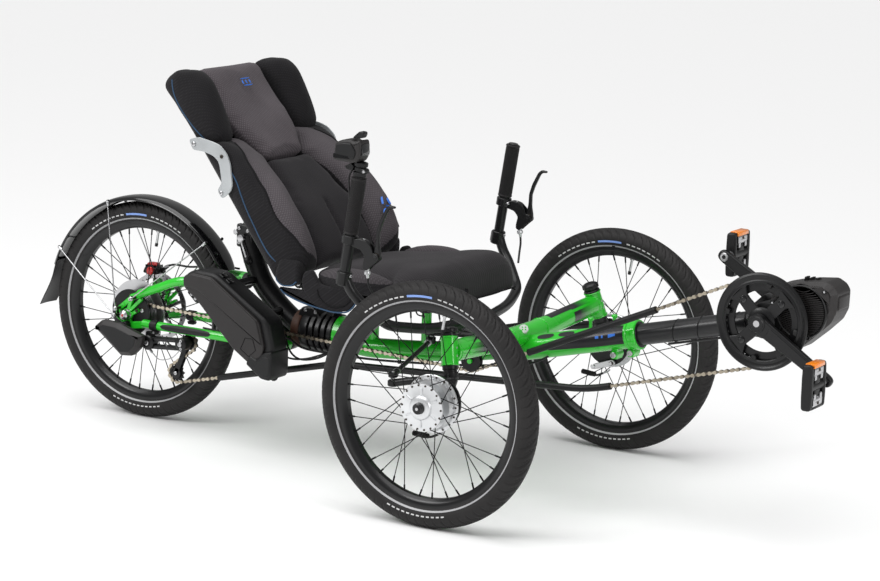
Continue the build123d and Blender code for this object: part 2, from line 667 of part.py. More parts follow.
# ---- steering ----
def knuckle_left():
    low = kingpin_point(1, -HEAD_HALF_LENGTH)
    knuckle = rod(kingpin_point(1, -HEAD_HALF_LENGTH - 20), kingpin_point(1, HEAD_HALF_LENGTH + 16), KINGPIN_RADIUS)
    knuckle += rod(kingpin_point(1, HEAD_HALF_LENGTH + FACE_GAP), kingpin_point(1, HEAD_HALF_LENGTH + 11), 15)
    knuckle += rod(kingpin_point(1, HEAD_HALF_LENGTH + 10), kingpin_point(1, HEAD_HALF_LENGTH + 20), 11)
    knuckle += rod(kingpin_point(1, -HEAD_HALF_LENGTH - 34), kingpin_point(1, -HEAD_HALF_LENGTH - FACE_GAP), 16)
    x, y, z = kingpin_point(1, -HEAD_HALF_LENGTH - 30)
    knuckle += rod((x, y, z), (6, 350, AXLE_HEIGHT + 10), 15)
    knuckle += disc(0, AXLE_HEIGHT, 20, 338, 360)
    end_x, end_y, end_z = ARM_END
    knuckle += rod((x, y, z + 6), (-50, 340, 284), 10) + rod((-50, 340, 284), (end_x, end_y, end_z), 8)
    knuckle += rod((end_x, end_y, end_z - 6), (end_x, end_y, end_z + 6), 11)
    wheel_y = TRACK / 2
    knuckle += disc(0, AXLE_HEIGHT, 53, wheel_y - 40, wheel_y - 34)
    knuckle += disc(0, AXLE_HEIGHT, 9.5, wheel_y - 36, wheel_y + 36)
    knuckle += disc(0, AXLE_HEIGHT, 12, wheel_y + 34.3, wheel_y + 44)
    cable = pipe([(-60, 356, 176), (-30, 353, 172), (-4, 351, 180)], 2.5)
    return knuckle, cable


def knuckle(side):
    body, cable = knuckle_left()
    body += disc(*brake_pivot(), 4, 343, 358)
    both = group([body, cable])
    return both if side > 0 else mirrored(both)


def brake_pivot():
    return (16.0, 205.0)


def brake_arm(side):
    x, z = brake_pivot()
    arm = disc(x, z, 9, 348, 353) + plate([(x - 4, z - 8), (x + 4, z + 8), (x - 44, z - 8), (x - 46, z - 18)], 348, 353)
    arm += disc(x - 45, z - 13, 6, 346, 353)
    arm -= disc(x, z, 4 + RUNNING_CLEARANCE, 340, 360)
    return arm if side > 0 else mirrored(arm)


def drag_link(side):
    x, y = STEER_LEVER_END
    start = (x, side * y, LINK_Z[0])
    end = (ARM_END[0], side * ARM_END[1], LINK_Z[1])
    link = rod(start, end, 5)
    link += rod((end[0], end[1], end[2] - 5), (end[0], end[1], end[2] + 5), 10)
    link += rod(link_pin(side, -7.5), link_pin(side, 7.5), 10)
    return link - rod(link_pin(side, -12), link_pin(side, 12), 4 + RUNNING_CLEARANCE)


def link_pin(side, distance):
    """A point on the axis about which one link swings on the steering lever."""
    x, y = STEER_LEVER_END
    lean_x, lean_y, rise = LINK_AXIS
    return (x + lean_x * distance, side * (y + lean_y * distance), LINK_Z[0] + rise * distance)


def handlebar():
    half = [(-258, BAR_Y, 462), (-222, 300, 408), (-176, 258, 362), (-140, 150, 345)]
    bar = pipe([(x, -y, z) for x, y, z in half] + [(STEER_AXIS_X, 0, 345)] + half[::-1], BAR_RADIUS)
    bar += rod((STEER_AXIS_X, 0, 305), (STEER_AXIS_X, 0, 360), 19)
    lever_x, lever_y = STEER_LEVER_END
    for side in SIDES.values():
        bar += plank((STEER_AXIS_X, 0), (lever_x, side * lever_y), 11, 305, 311.5)
        bar += rod(link_pin(side, -9), link_pin(side, 13), 4)
    bar -= rod((STEER_AXIS_X, 0, 295), (STEER_AXIS_X, 0, 370), 10 + RUNNING_CLEARANCE)
    for side in SIDES.values():
        bottom = (BAR_BOTTOM[0], side * BAR_Y, BAR_BOTTOM[1])
        top = (BAR_TOP[0], side * BAR_Y, BAR_TOP[1])
        bar += rod(bottom, top, BAR_RADIUS)
        bar += rod(bottom, bar_point(side, 0.12), 15)
    return bar


def plank(start, end, half_width, z_low, z_high):
    """A flat lying bar with round ends."""
    (x1, y1), (x2, y2) = start, end
    length = hypot(x2 - x1, y2 - y1)
    across = (-(y2 - y1) / length * half_width, (x2 - x1) / length * half_width)
    corners = [(x1 + across[0], y1 + across[1], z_low), (x2 + across[0], y2 + across[1], z_low),
               (x2 - across[0], y2 - across[1], z_low), (x1 - across[0], y1 - across[1], z_low)]
    bar = extrude(make_face(Polyline(*corners, close=True)), z_high - z_low, dir=(0, 0, 1))
    for x, y in (start, end):
        bar += rod((x, y, z_low), (x, y, z_high), half_width)
    return bar


def bar_point(side, share):
    """A point on one upright, from its clamp at 0 to its top end at 1."""
    return (BAR_BOTTOM[0] + share * (BAR_TOP[0] - BAR_BOTTOM[0]), side * BAR_Y,
            BAR_BOTTOM[1] + share * (BAR_TOP[1] - BAR_BOTTOM[1]))


def grips():
    pieces = []
    for side in SIDES.values():
        grip = rod(bar_point(side, 0.47), bar_point(side, 0.985), GRIP_RADIUS)
        pieces.append(grip - rod(bar_point(side, 0.4), bar_point(side, 1.05), BAR_RADIUS + FACE_GAP))
    return group(pieces)


LEVER_PIVOT = (-183.0, 516.0)


def brake_perches():
    pieces = []
    x, z = LEVER_PIVOT
    for side in SIDES.values():
        clamp = rod(bar_point(side, 0.38), bar_point(side, 0.45), 17)
        body = plate([(-245, 540), (-232, 548), (-206, 545), (x - 8, z + 4), (x - 4, z - 12), (-206, 486),
                      (-214, 488), (-212, 520), (-240, 532)], *sorted((side * 304, side * 320)))
        body -= disc(x, z, 17, *sorted((side * 307.6, side * 316.4)))
        body += disc(x, z, 3, *sorted((side * 304, side * 320)))
        shape = clamp + body + rod((-207, side * BAR_Y, 489), (-205, side * BAR_Y, 474), 5)
        shape -= rod(bar_point(side, 0.3), bar_point(side, 0.6), BAR_RADIUS + FACE_GAP)
        pieces.append(shape)
    return group(pieces)


def brake_lever(side):
    x, z = LEVER_PIVOT
    blade = [(x - 7, z - 6), (x + 8, z - 6), (x + 8, z + 14), (x + 5, z + 30), (x + 5, z + 50), (x + 12, z + 70),
             (x + 26, z + 101), (x + 41, z + 102), (x + 41, z + 107), (x + 24, z + 108), (x + 4, z + 74), (x - 3, z + 52),
             (x - 6, z + 12)]
    lever = plate(blade, 308, 316) + disc(x, z, 9, 308, 316)
    lever -= disc(x, z, 3 + RUNNING_CLEARANCE, 300, 320)
    return lever if side > 0 else mirrored(lever)


def control_unit():
    body = plate([(-280, 743), (-262, 752), (-220, 752), (-216, 738), (-219, 714), (-227, 704), (-244, 702.5),
                  (-284, 705)], -334, -292)
    body += rod(bar_point(-1, 1.002), bar_point(-1, 1.13), 14)
    return body


def shift_lever():
    lever = plate([(-246, 752.3), (-234, 752.3), (-221, 754.2), (-216, 768), (-226, 768)], -322, -306)
    return lever


def bar_cables():
    pieces = []
    for side in SIDES.values():
        route = [(-204.9, side * BAR_Y, 473.3), (-203, side * 311, 455), (-199, side * 300, 436), (-192, side * 284, 416)]
        pieces.append(pipe(route, 2.5))
    return group(pieces)


def frame_cables():
    route = [(20, -34, 268), (-60, -31, 257), (-150, -28, 245), (-250, -28, 235), (-350, -31, 228), (-430, -34, 226),
             (-500, -35, 226), (-548, -38, 230), (-575, -50, 248), (-600, -70, 262), (-622, -82, 271), (-637, -89, 281)]
    return pipe(route, 2.6)


def battery_case():
    outer = [(-786, 352), (-788, 382), (-762, 395), (-700, 392), (-560, 303), (-543, 240), (-550, 176),
             (-572, 178), (-649, 231), (-752, 329)]
    return plate(outer, -160, -92.3)


# ---- the whole tricycle ----
def wheel_nodes():
    nodes = {}
    flanges_front = [(57, -16.0), (48, 25.0)]
    flanges_rear = [(35, -25.0), (35, 29.5)]
    spots = {"front_left": Pos(0, TRACK / 2, AXLE_HEIGHT), "front_right": Pos(0, -TRACK / 2, AXLE_HEIGHT),
             "rear": Pos(-WHEELBASE, 0, AXLE_HEIGHT)}
    for place, spot in spots.items():
        rear = place == "rear"
        pieces = {"tyre": tyre(), "rim": rim(), "hub": rear_hub() if rear else front_hub(),
                  "spokes": spokes(flanges_rear if rear else flanges_front)}
        for kind, shape in pieces.items():
            nodes[f"{kind}_{place}"] = spot * (mirrored(shape) if place == "front_right" else shape)
    nodes["disc_rotor"] = spots["rear"] * disc_rotor()
    return nodes


def all_nodes():
    nodes = {
        "main_frame": main_frame(), "clamp_bolts": clamp_bolts(), "rear_riser": rear_riser(),
        "recline_lever": recline_lever(), "elastomer": elastomer(),
        "seat_base_frame": seat_base_frame(), "seat_pads": seat_pads(),
        "back_frame": back_frame(), "back_cushion": back_cushion(), "back_side_pads": back_side_pads(),
        "back_brackets": back_brackets(),
        "boom_tube": boom_tube(), "motor_housing": motor_housing(),
        "chainring": chainring(), "chainguard": chainguard(), "crank_arms": crank_arms(),
        "chain": chain(), "chain_tubes": chain_tubes(), "idler_wheel": idler_wheel(), "cassette": cassette(),
        "jockey_upper": jockey(UPPER_JOCKEY), "jockey_lower": jockey(LOWER_JOCKEY),
        "derailleur_cage": derailleur_cage(), "derailleur_body": derailleur_body(),
        "derailleur_guard": derailleur_guard(), "swingarm": swingarm(), "caliper": caliper(),
        "mudguard": mudguard(), "mudguard_stays": mudguard_stays(), "battery_case": battery_case(),
        "handlebar": handlebar(), "grips": grips(), "brake_perches": brake_perches(),
        "control_unit": control_unit(), "shift_lever": shift_lever(), "bar_cables": bar_cables(),
        "frame_cables": frame_cables(),
    }
    for name, side in SIDES.items():
        nodes[f"knuckle_{name}"] = knuckle(side)
        nodes[f"drag_link_{name}"] = drag_link(side)
        nodes[f"brake_arm_{name}"] = brake_arm(side)
        nodes[f"brake_lever_{name}"] = brake_lever(side)
        nodes[f"pedal_{name}"] = pedal(side)
    nodes.update(wheel_nodes())
    return nodes


os.makedirs("parts", exist_ok=True)
for node_name, shape in all_nodes().items():
    export_step(Pos(FRONT_AXLE_X, 0, 0) * shape, f"parts/{node_name}.step")
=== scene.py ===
from math import asin, atan2, copysign, cos, exp, hypot, pi, radians, sin, sqrt

import bmesh
import bpy
import numpy as np
from mathutils import Matrix, Vector


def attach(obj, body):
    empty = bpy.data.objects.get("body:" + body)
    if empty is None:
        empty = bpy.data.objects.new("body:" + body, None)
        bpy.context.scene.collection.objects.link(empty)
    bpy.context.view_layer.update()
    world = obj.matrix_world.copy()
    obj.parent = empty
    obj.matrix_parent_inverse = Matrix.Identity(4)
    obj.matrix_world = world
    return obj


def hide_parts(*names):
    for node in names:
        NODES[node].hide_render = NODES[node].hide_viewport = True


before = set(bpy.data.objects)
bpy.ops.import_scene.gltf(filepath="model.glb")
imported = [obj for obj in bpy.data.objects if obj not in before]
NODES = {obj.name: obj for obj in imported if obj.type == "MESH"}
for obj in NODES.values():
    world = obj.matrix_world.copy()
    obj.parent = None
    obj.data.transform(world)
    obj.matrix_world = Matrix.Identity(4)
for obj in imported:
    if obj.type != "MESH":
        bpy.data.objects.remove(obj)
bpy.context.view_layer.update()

# The scene is in metres, in the CAD's frame.
FRONT_AXLE_X = 0.2785
# Driving sizes in millimetres. A place is (x, z), measured from the front axle line and the ground.
HALF_TRACK = 397.5
AXLE_HEIGHT = 250
REAR_AXLE = (-1004, 250)
SWING_PIVOT = (-605, 228)
SEAT_HINGE = (-478, 402)
UPPER_JOCKEY = (-846, 203)
LOWER_JOCKEY = (-876, 129)
CRANK = (558, 438)
CRANK_REACH = (149.3, 93.3)
MOTOR_CENTRE = (634, 465)
STEER_POST_X = -115
STEER_LEVER_END = (-212, 45)  # x and y
BAR_Y = 312
LEVER_PIVOT = (-183, 516)
SIDES = {"right": -1, "left": 1}


def mm(x, y, z):
    """A place in metres from millimetres measured from the front axle line."""
    return Vector((x / 1000 + FRONT_AXLE_X, y / 1000, z / 1000))


def beside(place, y=0):
    """A place (x, z), moved y millimetres sideways."""
    return mm(place[0], y, place[1])


def turns(count, start=0.0, closed=False):
    """Angles of even steps round a circle; closed repeats the first one at the end."""
    return [2 * pi * (k + start) / count for k in range(count + closed)]


def around(angle, radius=1.0, y=0.0):
    """An offset from a wheel's or sprocket's middle, in the units of radius."""
    return Vector((radius * cos(angle), y, radius * sin(angle)))


def span(side, near, far):
    """The two limits in y of something between near and far on one side, low one first."""
    return sorted((side * near, side * far))


def crank_end(side):
    """The middle of one pedal axle, as (x, z)."""
    return CRANK[0] - side * CRANK_REACH[0], CRANK[1] + side * CRANK_REACH[1]


# ---------------------------------------------------------------- camera, light, floor
def make_camera():
    """A long lens from the front right, above the seat and slightly rolled."""
    yaw, pitch, roll = radians(31.132), radians(11.137), radians(1.64)
    ahead = Vector((-sin(yaw) * cos(pitch), cos(yaw) * cos(pitch), -sin(pitch)))
    right = Vector((cos(yaw), sin(yaw), 0))
    up = right.cross(ahead)
    cam_x = right * cos(roll) + up * sin(roll)
    cam_y = up * cos(roll) - right * sin(roll)
    data = bpy.data.cameras.new("camera")
    data.lens, data.sensor_width = 112.915, 36
    data.clip_end = 60
    camera = bpy.data.objects.new("camera", data)
    camera.matrix_world = Matrix.Translation(mm(2769.4, -4950.6, 1531.6)) @ Matrix(
        (cam_x, cam_y, -ahead)).transposed().to_4x4()
    bpy.context.scene.collection.objects.link(camera)
    bpy.context.scene.camera = camera


def area_light(name, spot, target, size, power):
    """A rectangular lamp at spot, turned to face target."""
    data = bpy.data.lights.new(name, "AREA")
    data.shape, data.size, data.size_y, data.energy = "RECTANGLE", size[0], size[1], power
    lamp = bpy.data.objects.new(name, data)
    lamp.location = spot
    lamp.rotation_euler = (Vector(target) - Vector(spot)).to_track_quat("-Z", "Y").to_euler()
    bpy.context.scene.collection.objects.link(lamp)


def make_studio():
    """White surroundings, a broad light from above, two soft lamps and a white floor."""
    scene = bpy.context.scene
    scene.view_settings.view_transform = "Standard"
    world = bpy.data.worlds.new("studio")
    world.use_nodes = True
    back = world.node_tree.nodes["Background"]
    back.inputs["Color"].default_value = (1, 1, 1, 1)
    back.inputs["Strength"].default_value = 0.34
    scene.world = world
    data = bpy.data.lights.new("ceiling", "SUN")
    data.energy, data.angle = 2.25, radians(60)
    ceiling = bpy.data.objects.new("ceiling", data)
    ceiling.rotation_euler = (radians(14), radians(-10), 0)
    scene.collection.objects.link(ceiling)
    area_light("key", (-1.8, -2.8, 2.6), (0, 0, 0.4), (1.9, 1.2), 62)
    area_light("front", (3.2, -1.0, 1.6), (0.3, 0, 0.4), (0.9, 1.5), 26)
    verts = [(-14, -14, 0), (14, -14, 0), (14, 14, 0), (-14, 14, 0)]
    floor = mesh_object("floor", verts, [(0, 1, 2, 3)], [plain("floor_white", (0.93, 0.93, 0.93), 0.6)])


# ---------------------------------------------------------------- materials
def new_material(name):
    """A new material with its node tree and its main shader."""
    material = bpy.data.materials.new(name)
    material.use_nodes = True
    tree = material.node_tree
    return material, tree, tree.nodes["Principled BSDF"]


def node(tree, kind, values=(), **settings):
    made = tree.nodes.new(kind)
    for key, value in settings.items():
        setattr(made, key, value)
    for key, value in dict(values).items():
        made.inputs[key].default_value = value
    return made


def plain(name, colour, roughness):
    """A material of one even colour and roughness."""
    material, _, shader = new_material(name)
    shader.inputs["Base Color"].default_value = (*colour, 1)
    shader.inputs["Roughness"].default_value = roughness
    return material


def colour_ramp(tree, source, shader, first, last, start=0.0, end=1.0):
    """Colours the shader from first to last as the source's value goes from start to end."""
    ramp = node(tree, "ShaderNodeValToRGB")
    for stop, place, colour in zip(ramp.color_ramp.elements, (start, end), (first, last)):
        stop.position = place
        stop.color = (*colour, 1)
    tree.links.new(source, ramp.inputs["Fac"])
    tree.links.new(ramp.outputs["Color"], shader.inputs["Base Color"])


def surface(name, colour, rough, metal=0.0, coat=0.0, coat_rough=0.1, specular=0.5, grain=900.0, bump=0.02,
            vary=0.12, patch=14.0, rough_vary=0.12):
    """Painted, moulded or metal finish: mottled colour, uneven gloss and a fine grain."""
    material, tree, shader = new_material(name)
    link = tree.links.new
    place = node(tree, "ShaderNodeTexCoord")
    broad = node(tree, "ShaderNodeTexNoise", {"Scale": patch, "Detail": 3.0})
    fine = node(tree, "ShaderNodeTexNoise", {"Scale": grain, "Detail": 2.0})
    for texture in (broad, fine):
        link(place.outputs["Object"], texture.inputs["Vector"])
    colour_ramp(tree, broad.outputs["Fac"], shader, [c * (1 - vary) for c in colour],
                [min(1, c * (1 + vary)) for c in colour], 0.3, 0.7)
    spread = node(tree, "ShaderNodeMapRange", {"To Min": max(0.02, rough - rough_vary / 2),
                                               "To Max": min(1, rough + rough_vary / 2)})
    link(broad.outputs["Fac"], spread.inputs["Value"])
    link(spread.outputs["Result"], shader.inputs["Roughness"])
    relief = node(tree, "ShaderNodeBump", {"Strength": bump * 5, "Distance": 0.0004})
    link(fine.outputs["Fac"], relief.inputs["Height"])
    link(relief.outputs["Normal"], shader.inputs["Normal"])
    shader.inputs["Metallic"].default_value = metal
    shader.inputs["Coat Weight"].default_value = coat
    shader.inputs["Coat Roughness"].default_value = coat_rough
    shader.inputs["Specular IOR Level"].default_value = specular
    return material


def fabric(name, dark, light, pitch=0.0026, turn=0.6, strength=0.35, tilt=-0.93):
    """Spacer mesh cloth: rows of fine ribs crossed by a second set, in the backrest's or seat's plane."""
    material, tree, shader = new_material(name)
    link = tree.links.new
    place = node(tree, "ShaderNodeTexCoord")
    lay = node(tree, "ShaderNodeMapping", {"Rotation": (0, tilt, 0)})
    link(place.outputs["Object"], lay.inputs["Vector"])
    ribs = []
    for angle, scale in ((turn, 1.0), (turn + 1.5, 0.8)):
        spin = node(tree, "ShaderNodeMapping", {"Rotation": (0, 0, angle)})
        link(lay.outputs["Vector"], spin.inputs["Vector"])
        wave = node(tree, "ShaderNodeTexWave", {"Scale": 1 / (pitch * 6.4 * scale), "Distortion": 0.6,
                                                "Detail": 1.0, "Detail Scale": 2.0})
        link(spin.outputs["Vector"], wave.inputs["Vector"])
        ribs.append(wave.outputs["Fac"])
    weave = node(tree, "ShaderNodeMath", operation="MULTIPLY")
    link(ribs[0], weave.inputs[0])
    link(ribs[1], weave.inputs[1])
    cloud = node(tree, "ShaderNodeTexNoise", {"Scale": 9.0, "Detail": 4.0})
    fuzz = node(tree, "ShaderNodeTexNoise", {"Scale": 1500.0, "Detail": 2.0})
    for texture in (cloud, fuzz):
        link(place.outputs["Object"], texture.inputs["Vector"])
    total = node(tree, "ShaderNodeMath", {2: 0.0}, operation="MULTIPLY_ADD")
    link(cloud.outputs["Fac"], total.inputs[0])
    total.inputs[1].default_value = 0.55
    soft = node(tree, "ShaderNodeMath", {1: 0.42}, operation="MULTIPLY")
    link(weave.outputs["Value"], soft.inputs[0])
    link(soft.outputs["Value"], total.inputs[2])
    colour_ramp(tree, total.outputs["Value"], shader, dark, light, 0.15, 0.85)
    height = node(tree, "ShaderNodeMath", operation="MULTIPLY_ADD")
    link(fuzz.outputs["Fac"], height.inputs[0])
    height.inputs[1].default_value = 0.5
    link(weave.outputs["Value"], height.inputs[2])
    relief = node(tree, "ShaderNodeBump", {"Strength": strength, "Distance": 0.0008})
    link(height.outputs["Value"], relief.inputs["Height"])
    link(relief.outputs["Normal"], shader.inputs["Normal"])
    shader.inputs["Roughness"].default_value = 0.92
    shader.inputs["Specular IOR Level"].default_value = 0.12
    shader.inputs["Sheen Weight"].default_value = 0.05
    shader.inputs["Sheen Roughness"].default_value = 0.6
    return material


def fading(name, inner, outer, start, end):
    """Paint that turns from one colour to another with distance from the middle plane."""
    material, tree, shader = new_material(name)
    link = tree.links.new
    place = node(tree, "ShaderNodeTexCoord")
    axes = node(tree, "ShaderNodeSeparateXYZ")
    link(place.outputs["Object"], axes.inputs["Vector"])
    away = node(tree, "ShaderNodeMath", operation="ABSOLUTE")
    link(axes.outputs["Y"], away.inputs[0])
    spread = node(tree, "ShaderNodeMapRange", {"From Min": start, "From Max": end})
    link(away.outputs["Value"], spread.inputs["Value"])
    colour_ramp(tree, spread.outputs["Result"], shader, inner, outer)
    shader.inputs["Roughness"].default_value = 0.32
    shader.inputs["Coat Weight"].default_value = 0.4
    return material


MAT = {
    "green": surface("green_paint", (0.018, 0.50, 0.018), 0.28, coat=0.7, coat_rough=0.07, grain=500,
                     bump=0.01, vary=0.05, rough_vary=0.08, specular=0.35),
    "black_paint": surface("black_paint", (0.006, 0.006, 0.0065), 0.36, coat=0.12, coat_rough=0.14,
                           grain=1400, bump=0.02, specular=0.28),
    "boom_black": surface("boom_black", (0.010, 0.010, 0.011), 0.34, coat=0.18, coat_rough=0.16,
                          grain=1800, bump=0.02, specular=0.34),
    "black_plastic": surface("black_plastic", (0.0075, 0.0075, 0.008), 0.42, grain=1600, bump=0.04,
                             specular=0.3),
    "dark_plastic": surface("dark_plastic", (0.020, 0.018, 0.018), 0.46, grain=1600, bump=0.05,
                            specular=0.34),
    "gloss_black": surface("gloss_black", (0.003, 0.003, 0.0035), 0.14, coat=0.55, coat_rough=0.03,
                           bump=0.0, rough_vary=0.05, specular=0.35),
    "steel": surface("bare_steel", (0.52, 0.52, 0.53), 0.30, metal=1.0, grain=700, bump=0.02),
    "alloy": surface("silver_alloy", (0.66, 0.67, 0.68), 0.36, metal=0.85, grain=800, bump=0.03),
    "silver_paint": surface("silver_paint", (0.42, 0.44, 0.45), 0.35, metal=0.3, coat=0.3),
    "chain": surface("chain_steel", (0.44, 0.39, 0.31), 0.30, metal=1.0, grain=600, bump=0.04, vary=0.25),
    "chain_inner": surface("chain_inner", (0.20, 0.17, 0.135), 0.36, metal=1.0, grain=600, bump=0.04,
                           vary=0.25),
    "chain_dark": surface("chain_roller", (0.07, 0.06, 0.05), 0.5, metal=1.0),
    "tyre": surface("tyre_rubber", (0.013, 0.012, 0.012), 0.62, grain=1300, bump=0.1, vary=0.25, patch=20,
                    specular=0.3),
    "stripe": surface("reflex_stripe", (0.36, 0.36, 0.37), 0.4, grain=2500, bump=0.05),
    "band_blue": surface("band_blue", (0.20, 0.33, 0.72), 0.45),
    "band_white": surface("band_white", (0.55, 0.55, 0.55), 0.5),
    "grip": surface("grip_rubber", (0.012, 0.011, 0.0115), 0.6, grain=2200, bump=0.12, specular=0.3),
    "spoke": surface("spoke_black", (0.012, 0.012, 0.013), 0.3, metal=0.6, specular=0.3),
    "rim": surface("rim_black", (0.006, 0.006, 0.0065), 0.3, coat=0.12, specular=0.3),
    "orange": surface("reflector_orange", (0.95, 0.26, 0.015), 0.2, coat=0.5, grain=400, bump=0.2),
    "red": surface("caliper_red", (0.50, 0.012, 0.010), 0.3, coat=0.4),
    "brown": surface("strap_brown", (0.050, 0.020, 0.011), 0.55, specular=0.3),
    "cable": surface("cable_jacket", (0.007, 0.007, 0.0075), 0.42, bump=0.04, specular=0.35),
    "boot": surface("boot_rubber", (0.009, 0.009, 0.009), 0.55, grain=1500, bump=0.08, specular=0.3),
    "glass": surface("display_glass", (0.004, 0.005, 0.006), 0.08, coat=0.8, coat_rough=0.02, bump=0.0),
    "piping": surface("piping_blue", (0.012, 0.05, 0.11), 0.7, bump=0.1),
    "panel_black": surface("panel_black", (0.012, 0.011, 0.014), 0.38, coat=0.3, coat_rough=0.15,
                           specular=0.3),
    "panel_fade": fading("panel_fade", (0.012, 0.011, 0.014), (0.018, 0.50, 0.018), 0.205, 0.262),
    "mark_blue": surface("mark_blue", (0.03, 0.16, 0.62), 0.6, bump=0.05),
    "badge": surface("badge_silver", (0.62, 0.66, 0.62), 0.35, metal=0.2, coat=0.3),
    "grey_cloth": fabric("grey_mesh_cloth", (0.052, 0.044, 0.049), (0.150, 0.132, 0.144)),
    "stripe_cloth": fabric("stripe_mesh_cloth", (0.048, 0.042, 0.046), (0.128, 0.114, 0.124), pitch=0.0022),
    "black_cloth": fabric("black_knit_cloth", (0.0085, 0.0078, 0.0088), (0.021, 0.020, 0.022),
                          pitch=0.0022, turn=0.9, strength=0.3),
    "lumbar_cloth": fabric("lumbar_cloth", (0.013, 0.012, 0.0135), (0.036, 0.033, 0.036), pitch=0.0022,
                           strength=0.3),
    "seat_cloth": fabric("seat_mesh_cloth", (0.018, 0.0165, 0.018), (0.050, 0.046, 0.050), pitch=0.0022,
                         tilt=0.0),
    "hip_cloth": fabric("hip_mesh_cloth", (0.036, 0.032, 0.035), (0.090, 0.081, 0.088), pitch=0.0024,
                        tilt=0.0),
    "seam": surface("seam_black", (0.004, 0.004, 0.0045), 0.8, bump=0.1, specular=0.2),
}


# ---------------------------------------------------------------- mesh helpers
def mesh_object(name, verts, faces, materials, indices=None, sharp=35.0):
    """An object from points and faces, with a material index for each face."""
    data = bpy.data.meshes.new(name)
    data.from_pydata([tuple(v) for v in verts], [], [tuple(f) for f in faces])
    data.validate()
    for material in materials:
        data.materials.append(material)
    if indices is not None:
        data.polygons.foreach_set("material_index", indices)
    thing = bpy.data.objects.new(name, data)
    bpy.context.scene.collection.objects.link(thing)
    smooth_by_angle(thing, sharp)
    return thing


def smooth_by_angle(thing, angle=35.0):
    """Smooth shading, with edges kept sharp where the faces meet at more than the angle."""
    shape = bmesh.new()
    shape.from_mesh(thing.data)
    limit = radians(angle)
    for face in shape.faces:
        face.smooth = True
    for edge in shape.edges:
        edge.smooth = len(edge.link_faces) == 2 and edge.calc_face_angle(0) < limit
    shape.to_mesh(thing.data)
    shape.free()


